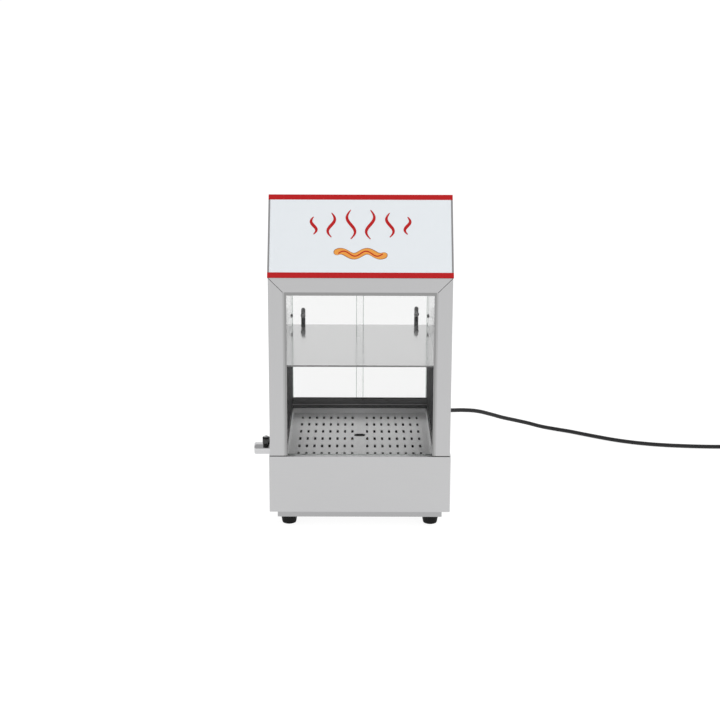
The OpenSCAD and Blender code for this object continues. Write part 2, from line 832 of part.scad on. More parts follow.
module side_panel() {
    t = sheet_t;
    tab = 9;
    x = cab_half;
    section = folded([[x - t - tab, frame_depth], [x, frame_depth], [x, cab_d - frame_depth],
        [x - t - tab, cab_d - frame_depth]], -t);
    translate([0, 0, cab_z]) linear_extrude(cab_top - cab_z) polygon(section);
}

module side_panel_left() {
    color("lightgray") mirror([1, 0, 0]) side_panel();
}

module side_panel_right() {
    color("lightgray") side_panel();
}

module side_liner() {
    span([inner_half, pane_y, cab_z], [inner_half + liner_t, cab_d - 0.5, ceiling_z]);
}

module side_liner_left() {
    color("silver") mirror([1, 0, 0]) side_liner();
}

module side_liner_right() {
    color("silver") side_liner();
}

module ceiling_panel() {
    color("silver") span([-inner_half - liner_t, frame_depth, ceiling_z],
        [inner_half + liner_t, cab_d - frame_depth, ceiling_z + liner_t]);
}

// Sliding doors

module track_section(z0, h) {
    t = track_t;
    translate([track_y0 - t, z0]) square([track_y1 - track_y0 + 2*t, t]);
    for (y = [track_y0 - t, (track_y0 + track_y1 - t)/2, track_y1]) translate([y, z0]) square([t, h]);
}

module door_track_lower() {
    x = inner_half - 0.1;
    color("dimgray") along_x(-x, x) track_section(cab_z, track_low_h);
}

module door_track_upper() {
    x = inner_half - 0.1;
    color("dimgray") along_x(-x, x)
        translate([0, ceiling_z]) mirror([0, 1]) track_section(0, track_up_h);
}

module door_glass(x0, x1, y) {
    color([0.8, 0.9, 0.9, 0.3]) span([x0, y - glass_t/2, door_z0], [x1, y + glass_t/2, door_z1]);
}

module door_glass_left() {
    door_glass(-door_outer, door_overlap/2, door_front_y);
}

module door_glass_right() {
    door_glass(-door_overlap/2, door_outer, door_back_y);
}

// Pull on the back of a door whose rear face is at y
module door_pull(x, y) {
    strap_t = 2.6;
    foot_t = pull_proud - strap_t;
    glass_gap = 0.05;
    color("gray") {
        along_y(y + foot_t, y + pull_proud) translate([x, 0])
            round_rect(-pull_w/2, pull_w/2, pull_z0, pull_z1, pull_w*0.45);
        for (z = [pull_z0 + pull_screw_inset, pull_z1 - pull_screw_inset])
            bar_y(x, y + glass_gap, y + foot_t, z, pull_w - 0.5);
    }
}

module door_pull_left() {
    door_pull(-pull_x, door_front_y + glass_t/2);
}

module door_pull_right() {
    door_pull(pull_x, door_back_y + glass_t/2);
}

// Screw heads on the inner face of a door whose front face is at y
module door_screws(x, y) {
    head_h = 2.2;
    glass_gap = 0.05;
    color("silver") for (z = [pull_z0 + pull_screw_inset, pull_z1 - pull_screw_inset])
        translate([x, y - glass_gap, z]) rotate([90, 0, 0]) pan_head(pull_head_d, head_h);
}

module door_screws_left() {
    door_screws(-pull_x, door_front_y - glass_t/2);
}

module door_screws_right() {
    door_screws(pull_x, door_back_y - glass_t/2);
}

// Bun shelf

module bun_shelf() {
    t = shelf_t;
    x = inner_half - shelf_side_gap;
    hem = 2*t + 0.2;
    color("silver") along_x(-x, x) {
        translate([shelf_y0, shelf_z - t]) square([shelf_y1 - shelf_y0, t]);
        for (y = [shelf_y0, shelf_y1 - hem_w]) translate([y, shelf_z - hem]) square([hem_w, hem]);
    }
}

module shelf_ledges() {
    t = 1;
    y0 = shelf_y0 + hem_w + 1;
    y1 = shelf_y1 - hem_w - 1;
    z1 = shelf_z - shelf_t - seat_gap;
    rivet_d = 5;
    rivet_inset = 30;
    color("silver") both_sides() {
        along_y(y0, y1) polygon([[-inner_half, z1], [-inner_half + ledge_w, z1], [-inner_half + ledge_w, z1 - t],
            [-inner_half + t, z1 - t], [-inner_half + t, z1 - ledge_w], [-inner_half, z1 - ledge_w]]);
        for (y = [y0 + rivet_inset, y1 - rivet_inset])
            translate([-inner_half + t, y, z1 - ledge_w*0.6]) rotate([0, 90, 0])
            cylinder(h = 1.2, d1 = rivet_d, d2 = rivet_d*0.6);
    }
}

module wall_screws() {
    color("silver") both_sides() translate([-inner_half, wall_screw_y, wall_screw_z])
        rotate([0, 90, 0]) pan_head(wall_head_d, wall_head_h);
}

// Header

// Local X across, Y up the front slope, Z out of it
module on_slope() {
    translate([0, 0, header_foot_z]) rotate([90 - header_lean, 0, 0]) children();
}

module hood_shell() {
    x = header_half - end_t;
    color("lightgray") along_x(-x, x) polygon(folded(header_path, sheet_t));
}

module hood_ends() {
    color("lightgray") both_sides() {
        along_x(header_half - end_t, header_half)
            polygon([[0, header_foot_z], [ridge_y, ridge_z], [cab_d, header_foot_z]]);
        on_slope() span([header_half - lip_w, trim_h + 0.05, 0], [header_half, slope_l - trim_h - 0.05, sign_t]);
    }
}

module sign_panel() {
    x = header_half - lip_w - 0.05;
    color("white") on_slope() span([-x, trim_h + 0.05, 0.02], [x, slope_l - trim_h - 0.05, sign_t]);
}

module sign_trims() {
    color("firebrick") on_slope() for (y = [0, slope_l - trim_h])
        span([-header_half, y, 0.02], [header_half, y + trim_h, sign_t]);
}

module case_screws() {
    x_frame = cab_half - frame_w/2;
    end_inset = 25;
    hood_rise = 12;
    color("silver") both_sides() {
        for (z = [cab_z + end_inset, (cab_z + cab_top)/2, cab_top - end_inset])
            translate([x_frame, cab_d, z]) rotate([-90, 0, 0]) pan_head(case_head_d, case_head_h);
        for (y = [cab_d*0.3, cab_d*0.75])
            translate([header_half, y, header_foot_z + hood_rise]) rotate([0, 90, 0])
                pan_head(case_head_d, case_head_h);
    }
}

// Controls

module thermostat_body() {
    wide = 38;
    tall = 34;
    y0 = thermostat_y0;
    y1 = thermostat_y1;
    color("tan") difference() {
        union() {
            span([-knob_x - wide/2, y0, control_z - tall/2], [-knob_x + wide/2, y1, control_z + tall/2]);
            bar_y(-knob_x, y1 - 1, base_back + bushing_l, control_z, bushing_d);
            hex_y(-knob_x, base_back, base_back + 2, control_z, bushing_d + 4);
        }
        bar_y(-knob_x, y0 + shaft_seat, base_back + bushing_l + 1, control_z, shaft_d + 2*shaft_gap);
    }
}

// Knob with its shaft, pointer up at rest
module thermostat_knob() {
    r = knob_d/2;
    y0 = knob_y0;
    shaft_y0 = thermostat_y0 + shaft_seat + sheet_gap;
    flutes = 12;
    flute_r = 3;
    color([0.08, 0.08, 0.08]) {
        difference() {
            translate([-knob_x, y0, control_z]) rotate([-90, 0, 0]) rotate_extrude()
                polygon([[0, 0], [r, 0], [r, 3], [r*0.86, 4], [r*0.8, knob_h - 1.5], [r*0.74, knob_h], [0, knob_h]]);
            for (k = [0:flutes - 1]) translate([-knob_x, y0 + 5, control_z]) rotate([-90, k*360/flutes + 15, 0])
                translate([r*0.8 + flute_r*0.6, 0, 0]) cylinder(h = knob_h, r = flute_r, $fn = 24);
        }
        translate([-knob_x - 0.8, y0 + knob_h - pointer_h, control_z + r*0.2]) cube([1.6, 2*pointer_h, r*0.5]);
        bar_y(-knob_x, shaft_y0, y0 + 1, control_z, shaft_d);
    }
}

module thermostat_bulb() {
    bulb_y1 = basin_y1 - bulb_d;
    inside = basin_y1 - tank_t;
    capillary_d = 2;
    nut_l = 4;
    flange_l = 3;
    flats = bulb_neck_d*1.5;
    color("peru") {
        bar_y(-knob_x, bulb_y1 - bulb_l, bulb_y1, bulb_z, bulb_d);
        bar_y(-knob_x, bulb_y1 - 1, thermostat_y0, bulb_z, capillary_d);
        bar_y(-knob_x, inside - flange_l, basin_y1 + nut_l, bulb_z, bulb_neck_d);
        hex_y(-knob_x, basin_y1, basin_y1 + nut_l, bulb_z, flats);
        hex_y(-knob_x, inside - flange_l, inside, bulb_z, flats);
    }
}

module switch_housing() {
    bezel_t = 2;
    depth = 22;
    wall = switch_wall;
    pin_hole_x = switch_w/2 - switch_rim - wall + rocker_pin_in + sheet_gap;
    x0 = switch_x - switch_w/2;
    x1 = switch_x + switch_w/2;
    z0 = control_z - switch_h/2;
    z1 = control_z + switch_h/2;
    color([0.1, 0.1, 0.1]) difference() {
        union() {
            span([x0, base_back + 0.05, z0], [x1, base_back + bezel_t, z1]);
            span([x0 + switch_rim, base_back - depth, z0 + switch_rim],
                [x1 - switch_rim, base_back + 1, z1 - switch_rim]);
            for (x = [switch_x - 4, switch_x + 3.2])
                span([x, base_back - depth - 8, control_z - 3], [x + 0.8, base_back - depth + 1, control_z + 3]);
        }
        span([x0 + switch_rim + wall, base_back - depth + wall, z0 + switch_rim + wall],
            [x1 - switch_rim - wall, base_back + bezel_t + 1, z1 - switch_rim - wall]);
        bar_x(switch_x - pin_hole_x, switch_x + pin_hole_x, rocker_axis_y, control_z,
            rocker_pin_d + 2*shaft_gap);
    }
}

// Rocker on its two pins, tilted so that its upper half stands out
module switch_rocker() {
    side_gap = 0.6;
    end_gap = 1.1;
    half_h = switch_h/2 - switch_rim - switch_wall - end_gap;
    half_w = switch_w/2 - switch_rim - switch_wall - side_gap;
    pin_x = half_w + side_gap + rocker_pin_in;
    color([0.12, 0.12, 0.12]) translate([switch_x, rocker_axis_y, control_z]) rotate([-rocker_tilt, 0, 0]) {
        along_x(-half_w, half_w) polygon([[-6, -5], [0, -half_h*0.93], [4.2, -half_h], [5.6, -half_h*0.96],
            [3.4, 0], [5.6, half_h*0.96], [4.2, half_h], [0, half_h*0.93], [-6, 5]]);
        bar_x(-pin_x, pin_x, 0, 0, rocker_pin_d);
    }
}

module pilot_lamp() {
    r = lamp_d/2;
    color("orangered") translate([-lamp_x, base_back, control_z]) rotate([-90, 0, 0]) {
        rotate_extrude() polygon([[0, 0.05], [r, 0.05], [r, 1.2], [r - 1, 2], [r - 2.2, 2], [r - 2.4, 3.6],
            [r - 3.6, 4.8], [0, 5.2]]);
        translate([0, 0, -18]) cylinder(h = 18.5, d = lamp_body_d);
    }
}

module terminal_block() {
    poles = 3;
    pitch = 11;
    wide = poles*pitch + 2;
    x0 = cord_x - wide + 14;
    y1 = base_back - sheet_t;
    z0 = base_z + 12;
    color("ivory") {
        difference() {
            span([x0, y1 - 15, z0], [x0 + wide, y1, z0 + 17]);
            for (k = [0:poles - 1]) {
                bar_z(x0 + 1 + pitch*(k + 0.5), y1 - 7, z0 - 1, z0 + 18, 4);
                bar_y(x0 + 1 + pitch*(k + 0.5), y1 - 16, y1 - 11, z0 + 8.5, 5);
            }
        }
    }
}

// Mains lead

// Closed tube of the given radius along a list of points
function tube_points(path, r, sides) = [for (i = [0:len(path) - 1])
    let (
        ahead = path[min(i + 1, len(path) - 1)],
        behind = path[max(i - 1, 0)],
        along = unit(ahead - behind),
        side = unit(cross(along, [0, 0, 1])),
        up = cross(side, along))
    for (k = [0:sides - 1]) path[i] + r*(cos(k*360/sides)*side + sin(k*360/sides)*up)];

function tube_faces(rings, sides) = concat(
    [for (k = [1:sides - 2]) [0, k, k + 1]],
    [for (i = [0:rings - 2], k = [0:sides - 1])
        let (a = i*sides + k, b = i*sides + (k + 1)%sides) each [[a, a + sides, b], [b, a + sides, b + sides]]],
    [for (k = [1:sides - 2]) [0, k + 1, k] + (rings - 1)*sides*[1, 1, 1]]);

module tube(path, r, sides) {
    polyhedron(points = tube_points(path, r, sides), faces = tube_faces(len(path), sides), convexity = 8);
}

// Smooth curve through the route's points, with one more point between each two
function mid_point(p, i) =
    let (a = p[max(i - 1, 0)], b = p[i], c = p[i + 1], d = p[min(i + 2, len(p) - 1)])
    (9*(b + c) - a - d)/16;
function smooth(p) = concat(
    [for (i = [0:len(p) - 2]) each (norm(p[i + 1] - p[i]) > 16 ? [p[i], mid_point(p, i)] : [p[i]])],
    [p[len(p) - 1]]);

module power_cord() {
    color([0.05, 0.05, 0.05]) tube(smooth(cord_route), cord_r, 8);
}

// The coil spirals in on the table and out again one layer up, then eases down to the plug
function ease(s) = s*s*(3 - 2*s);
function coil_lift(t) = turn_pitch*ease(min(max((t - coil_turns + 0.25)/0.5, 0), 1));
function coil_radius(t) = coil_r_out - turn_pitch*(t < coil_turns ? t : 2*coil_turns - t);
function coil_point(t) = [coil_x + coil_radius(t)*sin(360*t), coil_y + coil_radius(t)*cos(360*t),
    coil_z + coil_lift(t)];
coil_end = coil_point(2*coil_turns);
coil_path = concat(
    [[coil_x - cord_d, coil_y + coil_r_out, coil_z]],
    [for (i = [0:2*coil_turns*coil_step]) coil_point(i/coil_step)],
    [for (i = [1:lead_out_steps]) let (s = i/lead_out_steps)
        [coil_x + s*(plug_x - cord_d - coil_x), coil_end[1] + ease(s)*(plug_y - coil_end[1]),
            coil_end[2] + ease(s)*(plug_z - coil_end[2])]],
    [[plug_x, plug_y, plug_z]]);

// Least gap between turns, measured on points that are at least half a turn apart
coil_gap = min([for (i = [0:len(coil_path) - 1], j = [i + coil_step/2:len(coil_path) - 1])
    norm(coil_path[i] - coil_path[j])]) - cord_d;
echo(least_gap_of_the_coil = coil_gap);

module cord_coil() {
    color([0.05, 0.05, 0.05]) tube(coil_path, cord_r, 6);
}

// Strap round the four turns on the side of the coil that faces the front
module cord_tie() {
    wide = 10;
    inner_turn = coil_radius(1.5);
    bow = wide*wide/(8*inner_turn) + turn_pitch*wide/(4*PI*inner_turn);
    y1 = coil_y - inner_turn + cord_r + tie_gap + bow;
    y0 = coil_y - coil_radius(0.5) - cord_r - tie_gap;
    z0 = coil_z - cord_r - tie_gap;
    z1 = coil_z + turn_pitch + cord_r + tie_gap;
    color("dimgray") along_x(coil_x - wide/2, coil_x + wide/2) difference() {
        round_rect(y0 - tie_t, y1 + tie_t, z0 - tie_t, z1 + tie_t, 3);
        round_rect(y0, y1, z0, z1, 2);
    }
}

module strain_relief() {
    r = cord_r;
    tail = relief_l;
    color([0.06, 0.06, 0.06]) translate([cord_x, base_back, cord_z]) rotate([-90, 0, 0]) {
        difference() {
            rotate_extrude() polygon([[0, -14], [relief_neck_d/2, -14], [relief_neck_d/2, 0.05], [r + 6, 0.05],
                [r + 6, 3], [r + 4, 5], [r + 3.2, 6], [r + 1.2, tail], [0, tail]]);
            for (k = [0:2], a = [0, 180]) rotate(a + 90*(k%2)) translate([r + 0.9, -8, 9 + 6*k]) cube([5, 16, 2.4]);
        }
        cylinder(h = tail + cord_stub, r = r);
    }
}

module mains_plug() {
    body_l = 38;
    half_w = 12;
    half_h = plug_z - 0.4;
    pin_l = 16;
    color([0.05, 0.05, 0.05]) translate([plug_x, plug_y, plug_z]) {
        rotate([0, 90, 0]) rotate_extrude() polygon([[0, 0], [cord_r + 1.2, 0], [cord_r + 3, 16], [0, 16]]);
        difference() {
            translate([16, 0, 0]) span([0, -half_w, -half_h], [body_l - 16, half_w, half_h]);
            for (s = [-1, 1]) translate([24, s*(half_w + 5), -half_h - 1]) cylinder(h = 2*half_h + 2, r = 7);
        }
        for (s = [-1, 1]) span([body_l - 1, s*6.3 - 0.8, -3.2], [body_l + pin_l, s*6.3 + 0.8, 3.2]);
        bar_x(body_l - 1, body_l + pin_l + 2, 0, 6.5, 4.8);
    }
}

// Moves the model so that its origin is the middle of the footprint
module placed() {
    translate([-centre_x, -centre_y, 0]) children();
}

placed() base_shell();
placed() bottom_pan();
placed() feet();
placed() foot_screws();
placed() base_gasket();
placed() water_tank();
placed() heating_element();
placed() element_bushings();
placed() element_clips();
placed() drain_pipe();
placed() drain_nuts();
placed() drain_seals();
placed() valve_body();
placed() valve_ball();
placed() valve_stem();
placed() valve_lever();
placed() lever_screw();
placed() perforated_tray();
placed() tray_rim();
placed() front_frame_left();
placed() front_frame_right();
placed() front_frame_top();
placed() glass_bead();
placed() front_glass();
placed() side_panel_left();
placed() side_panel_right();
placed() side_liner_left();
placed() side_liner_right();
placed() rear_frame_left();
placed() rear_frame_right();
placed() rear_frame_top();
placed() ceiling_panel();
placed() door_track_lower();
placed() door_track_upper();
placed() door_glass_left();
placed() door_glass_right();
placed() door_pull_left();
placed() door_pull_right();
placed() door_screws_left();
placed() door_screws_right();
placed() bun_shelf();
placed() shelf_ledges();
placed() wall_screws();
placed() hood_shell();
placed() hood_ends();
placed() sign_panel();
placed() sign_trims();
placed() case_screws();
placed() thermostat_body();
placed() thermostat_knob();
placed() thermostat_bulb();
placed() switch_housing();
placed() switch_rocker();
placed() pilot_lamp();
placed() terminal_block();
placed() strain_relief();
placed() power_cord();
placed() cord_coil();
placed() cord_tie();
placed() mains_plug();
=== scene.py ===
"""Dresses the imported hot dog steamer: finishes, sign print, dial marks, mains lead and stage."""

import json
import math

import bmesh
import bpy
from mathutils import Matrix, Vector


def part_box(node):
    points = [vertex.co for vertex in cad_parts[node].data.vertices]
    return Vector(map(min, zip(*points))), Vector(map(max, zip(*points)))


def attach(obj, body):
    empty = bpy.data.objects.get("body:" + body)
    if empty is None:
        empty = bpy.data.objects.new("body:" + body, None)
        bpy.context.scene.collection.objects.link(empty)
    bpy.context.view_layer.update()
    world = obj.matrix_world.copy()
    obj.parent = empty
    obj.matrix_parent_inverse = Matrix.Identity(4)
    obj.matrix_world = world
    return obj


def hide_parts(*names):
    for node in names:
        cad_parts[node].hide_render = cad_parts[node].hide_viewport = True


bl_info = {
    "name": "Hot dog steamer",
    "version": (1, 0, 0),
    "blender": (4, 5, 0),
    "location": "3D View > Sidebar > Steamer",
    "description": "Finishes, print, marks, mains lead and stage of a hot dog steamer",
    "category": "Object",
}

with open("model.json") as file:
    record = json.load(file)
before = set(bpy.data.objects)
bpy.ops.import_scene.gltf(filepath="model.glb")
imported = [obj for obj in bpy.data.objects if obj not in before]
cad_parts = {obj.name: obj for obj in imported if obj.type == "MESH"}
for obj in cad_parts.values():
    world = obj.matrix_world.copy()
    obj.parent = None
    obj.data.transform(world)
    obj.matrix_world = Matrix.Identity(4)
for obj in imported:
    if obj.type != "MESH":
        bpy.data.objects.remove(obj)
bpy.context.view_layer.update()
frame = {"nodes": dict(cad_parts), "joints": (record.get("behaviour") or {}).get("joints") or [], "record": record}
NODES = frame["nodes"]
SLOT_OF = {row["node"]: row["material_slot"] for row in frame["record"]["subparts"]}
HINGE_AT = {joint["name"]: Vector(joint["pos_m"]) for joint in frame["joints"] if "pos_m" in joint}

MM = 0.001

# The cabinet's own origin: middle of the front plane, on the table
BASE_LOW, BASE_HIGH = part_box("base_shell")
ORIGIN = Vector(((BASE_LOW.x + BASE_HIGH.x) / 2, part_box("front_frame_top")[0].y, 0))
SHELF_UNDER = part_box("bun_shelf")[0].z

# How far print and seam lines reach into what carries them, so that no gap shows under them
PRINT_SUNK = -0.05 * MM
SEAM_SUNK, SEAM_PROUD = -0.2 * MM, 0.05 * MM


def at(x, y, z):
    """A point given in metres from the cabinet's origin, in the frame."""
    return ORIGIN + Vector((x, y, z))


# Materials


class Wire:
    """One value on its way through a material. Arithmetic on it adds Math nodes."""

    def __init__(self, recipe, socket):
        self.recipe = recipe
        self.socket = socket

    def __add__(self, other):
        return self.recipe.maths("ADD", self, other)

    def __radd__(self, other):
        return self.recipe.maths("ADD", other, self)

    def __sub__(self, other):
        return self.recipe.maths("SUBTRACT", self, other)

    def __rsub__(self, other):
        return self.recipe.maths("SUBTRACT", other, self)

    def __mul__(self, other):
        return self.recipe.maths("MULTIPLY", self, other)

    def __rmul__(self, other):
        return self.recipe.maths("MULTIPLY", other, self)

    def __pow__(self, other):
        return self.recipe.maths("POWER", self, other)

    def __gt__(self, other):
        return self.recipe.maths("GREATER_THAN", self, other)

    def __lt__(self, other):
        return self.recipe.maths("LESS_THAN", self, other)

    def __abs__(self):
        return self.recipe.maths("ABSOLUTE", self)


class Recipe:
    """A node tree while it is being laid out."""

    def __init__(self, tree):
        self.tree = tree
        tree.nodes.clear()

    def node(self, kind, settings=None, feeds=None, output=0):
        """Adds a node: its settings first, then the values or wires of its sockets."""
        node = self.tree.nodes.new(kind)
        for key, value in (settings or {}).items():
            setattr(node, key, value)
        for key, value in (feeds or {}).items():
            socket = node.inputs[key]
            if isinstance(value, Wire):
                self.tree.links.new(value.socket, socket)
            elif socket.type == "RGBA":
                socket.default_value = (*tuple(value)[:3], 1)
            else:
                socket.default_value = value
        return Wire(self, node.outputs[output]) if node.outputs else node

    def maths(self, operation, *values):
        return self.node("ShaderNodeMath", {"operation": operation}, dict(enumerate(values)))

    def limit(self, value):
        """The value held between 0 and 1."""
        return self.node("ShaderNodeMath", {"operation": "ADD", "use_clamp": True}, {0: value, 1: 0.0})

    def rise(self, value, low, high):
        """From 0 to 1, smoothly, while the value goes from low to high."""
        return self.node("ShaderNodeMapRange", {"interpolation_type": "SMOOTHSTEP"},
                         {0: value, 1: low, 2: high, 3: 0.0, 4: 1.0})

    def mix(self, factor, a, b):
        return self.node("ShaderNodeMix", {"data_type": "RGBA"}, {0: factor, 6: a, 7: b}, output=2)

    def varied(self, factor, tone, spread):
        """A tone that the factor takes from a little darker to a little lighter."""
        return self.mix(factor, scaled(tone, 1 - spread), scaled(tone, 1 + spread))

    def place(self):
        """Object coordinates in metres, as one vector."""
        return self.node("ShaderNodeTexCoord", output="Object")

    def split(self, vector):
        """The three parts of a vector, as wires."""
        node = self.node("ShaderNodeSeparateXYZ", feeds={0: vector}).socket.node
        return [Wire(self, socket) for socket in node.outputs]

    def facing(self):
        """The object-space normal, as three wires."""
        return self.split(self.node("ShaderNodeTexCoord", output="Normal"))

    def vector(self, x, y, z):
        return self.node("ShaderNodeCombineXYZ", feeds={0: x, 1: y, 2: z})

    def noise(self, place, scale=1.0, detail=2.0, roughness=0.5):
        return self.node("ShaderNodeTexNoise", feeds={
            "Vector": place, "Scale": scale, "Detail": detail, "Roughness": roughness})

    def bump(self, height, depth, strength):
        return self.node("ShaderNodeBump", feeds={
            "Height": height, "Distance": depth, "Strength": strength})

    def rays_that_see(self):
        """1 for a ray from the camera, off metal or through glass, then 1 for one off metal alone."""
        path = self.node("ShaderNodeLightPath").socket.node
        camera, glossy, through = (Wire(self, path.outputs[key]) for key in
                                   ("Is Camera Ray", "Is Glossy Ray", "Is Transmission Ray"))
        return self.limit(camera + glossy + through), glossy

    def surface(self, shader):
        self.node("ShaderNodeOutputMaterial", feeds={"Surface": shader})


def new_material(name):
    """A material, and the recipe that fills its empty node tree."""
    material = bpy.data.materials.new(name)
    material.use_nodes = True
    return material, Recipe(material.node_tree)


def scaled(colour, factor):
    """A colour made darker or lighter, to white at most."""
    return tuple(min(1.0, channel * factor) for channel in tuple(colour)[:3])


# Brushing: its fineness across and along the lines, per metre, and the lines' depth
GRAIN_ACROSS = 1500.0
GRAIN_ALONG = 22.0
GRAIN_DEPTH = 0.006 * MM

# Depth of the texture on plated metal and on painted or printed faces
PLATING_DEPTH = 0.01 * MM
PRINT_DEPTH = 0.01 * MM


def grain_noise(r, upright):
    """Noise drawn out along the brushing, which runs level or upright and turns with flat faces."""
    x, y, z = r.split(r.place())
    if upright:
        drawn_out = r.vector(x * GRAIN_ACROSS, y * GRAIN_ACROSS, z * GRAIN_ALONG)
    else:
        flat = abs(r.facing()[2]) > 0.5
        turned = GRAIN_ALONG + (GRAIN_ACROSS - GRAIN_ALONG) * flat
        drawn_out = r.vector(x * GRAIN_ALONG, y * turned, z * GRAIN_ACROSS)
    return r.noise(drawn_out, detail=3.0, roughness=0.6)


def brushed(name, tone, roughness, upright=False, spread=0.06, shade_below=None, edge_shade=None, sides=None):
    """Brushed or polished metal sheet. Below a height, the sheet is painted dark and dull as shade.

    A sheet that lies level gets a darker tone painted on its front edge as shade, and sides gives a band of
    another tone along the left and right.
    """
    material, r = new_material(name)
    place = r.place()
    grain = grain_noise(r, upright)
    cloud = r.noise(place, scale=11.0)
    factor = grain * 0.65 + cloud * 0.35
    colour = r.varied(factor, tone, spread)
    # Painted shade: a level sheet's front-facing edge gets a darker tone
    if edge_shade:
        colour = r.mix(r.facing()[1] < -0.5, colour, edge_shade)
    if sides:
        low, high, width, side_tone = sides
        x = r.split(place)[0]
        colour = r.mix(r.limit((x < low + width) + (x > high - width)), colour, side_tone)
    relief = r.bump(grain, GRAIN_DEPTH, 0.25)
    shader = r.node("ShaderNodeBsdfPrincipled", feeds={
        "Base Color": colour, "Metallic": 1.0,
        "Roughness": roughness - 0.05 + grain * 0.06 + cloud * 0.04, "Normal": relief})
    # Painted shade: below the height the sheet turns dark and dull, standing in for the shade under the shelf
    if shade_below:
        height, shade_tone = shade_below
        painted_shade = r.node("ShaderNodeBsdfPrincipled", feeds={
            "Base Color": r.varied(factor, shade_tone, 0.2),
            "Roughness": 0.7, "Specular IOR Level": 0.05, "Normal": relief})
        shader = r.node("ShaderNodeMixShader", feeds={
            0: r.split(place)[2] < height, 1: shader, 2: painted_shade})
    r.surface(shader)
    return material


def cast(name, tone, roughness, scale=900.0, spread=0.08):
    """Turned or plated metal with a fine even texture."""
    material, r = new_material(name)
    place = r.place()
    fine = r.noise(place, scale=scale)
    broad = r.noise(place, scale=60.0)
    shader = r.node("ShaderNodeBsdfPrincipled", feeds={
        "Base Color": r.varied(fine * 0.5 + broad * 0.5, tone, spread), "Metallic": 1.0,
        "Roughness": roughness - 0.04 + broad * 0.08, "Normal": r.bump(fine, PLATING_DEPTH, 0.3)})
    r.surface(shader)
    return material


def plastic(name, tone, roughness, specular=0.5, scale=1400.0, depth=0.03 * MM, spread=0.12,
            coat=0.0, ends=None):
    """Moulded plastic, rubber, silicone or paint with a fine leathered surface.

    Below and above two heights, ends gives it another tone.
    """
    material, r = new_material(name)
    place = r.place()
    fine = r.noise(place, scale=scale)
    broad = r.noise(place, scale=40.0, detail=3.0)
    colour = r.varied(fine * 0.4 + broad * 0.6, tone, spread)
    if ends:
        low, high, end_tone = ends
        z = r.split(place)[2]
        colour = r.mix(r.limit((z < low) + (z > high)), colour, end_tone)
    shader = r.node("ShaderNodeBsdfPrincipled", feeds={
        "Base Color": colour, "Roughness": roughness - 0.06 + broad * 0.12,
        "Specular IOR Level": specular, "Coat Weight": coat, "Coat Roughness": 0.12,
        "Normal": r.bump(fine, depth, 0.35)})
    r.surface(shader)
    return material


def woven(name, tone):
    """Hook-and-loop strap: crossed ribs 0.7 mm apart, with fuzz between them."""
    material, r = new_material(name)
    place = r.place()
    x, y, z = r.split(place)
    ribs = math.tau / (0.7 * MM)
    across = r.maths("SINE", x * ribs)
    along = r.maths("SINE", (y + z) * ribs)
    weave = r.limit(across * along * 0.5 + 0.5)
    fuzz = r.noise(place, scale=2500.0, detail=3.0)
    shader = r.node("ShaderNodeBsdfPrincipled", feeds={
        "Base Color": r.mix(weave * 0.6 + fuzz * 0.4, scaled(tone, 0.6), scaled(tone, 1.35)),
        "Roughness": 0.9, "Specular IOR Level": 0.2,
        "Normal": r.bump(weave * 0.7 + fuzz * 0.3, 0.12 * MM, 0.6)})
    r.surface(shader)
    return material


def pane(name, tint, edge_tint, edges=()):
    """Clear float glass: see-through, with gloss by angle and darker ground edges."""
    material, r = new_material(name)
    place = r.place()
    x = r.split(place)[0]
    edge = abs(r.facing()[1]) < 0.5
    for low, high in edges:
        edge = r.maths("MAXIMUM", edge, (x > low) * (x < high))
    hazy, clear, ground = (r.node("ShaderNodeBsdfTransparent", feeds={"Color": colour})
                           for colour in (scaled(tint, 0.994), tint, edge_tint))
    through = r.node("ShaderNodeMixShader", feeds={0: r.noise(place, scale=14.0), 1: hazy, 2: clear})
    through = r.node("ShaderNodeMixShader", feeds={0: edge, 1: through, 2: ground})
    away = r.node("ShaderNodeLayerWeight", feeds={"Blend": 0.5}, output="Facing")
    gloss = r.node("ShaderNodeBsdfGlossy", feeds={"Color": (1, 1, 1), "Roughness": 0.02})
    r.surface(r.node("ShaderNodeMixShader", feeds={
        0: r.limit(away ** 5 * 0.9 + 0.008), 1: through, 2: gloss}))
    return material


def give(material, *nodes):
    """Puts one material on each of these CAD nodes."""
    for name in nodes:
        slots = NODES[name].data.materials
        slots.clear()
        slots.append(material)


def nodes_of(slot_name):
    """The CAD nodes that have this material slot in the record."""
    return sorted(node for node, slot in SLOT_OF.items() if slot == slot_name)


def soften(node, width):
    """Rounds a part's sharp edges by modifiers, so that they catch the light."""
    piece = NODES[node]
    weld = piece.modifiers.new("Joined", "WELD")
    weld.merge_threshold = 0.002 * MM
    bevel = piece.modifiers.new("Broken edges", "BEVEL")
    bevel.width = width
    bevel.segments = 2
    bevel.limit_method = "ANGLE"
    bevel.angle_limit = math.radians(35)
    even = piece.modifiers.new("Even normals", "WEIGHTED_NORMAL")
    even.keep_sharp = True


# Meshes


def mesh_piece(name, points, faces, material, body, smooth=None):
    """A mesh from points in the frame, with its material, riding on a body."""
    mesh = bpy.data.meshes.new(name)
    mesh.from_pydata([tuple(p) for p in points], [], faces)
    mesh.validate()
    build = bmesh.new()
    build.from_mesh(mesh)
    bmesh.ops.recalc_face_normals(build, faces=build.faces)
    build.to_mesh(mesh)
    build.free()
    if smooth is not None:
        mesh.shade_smooth()
        mesh.set_sharp_from_angle(angle=math.radians(smooth))
    mesh.materials.append(material)
    piece = bpy.data.objects.new(name, mesh)
    bpy.context.scene.collection.objects.link(piece)
    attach(piece, body)
    return piece


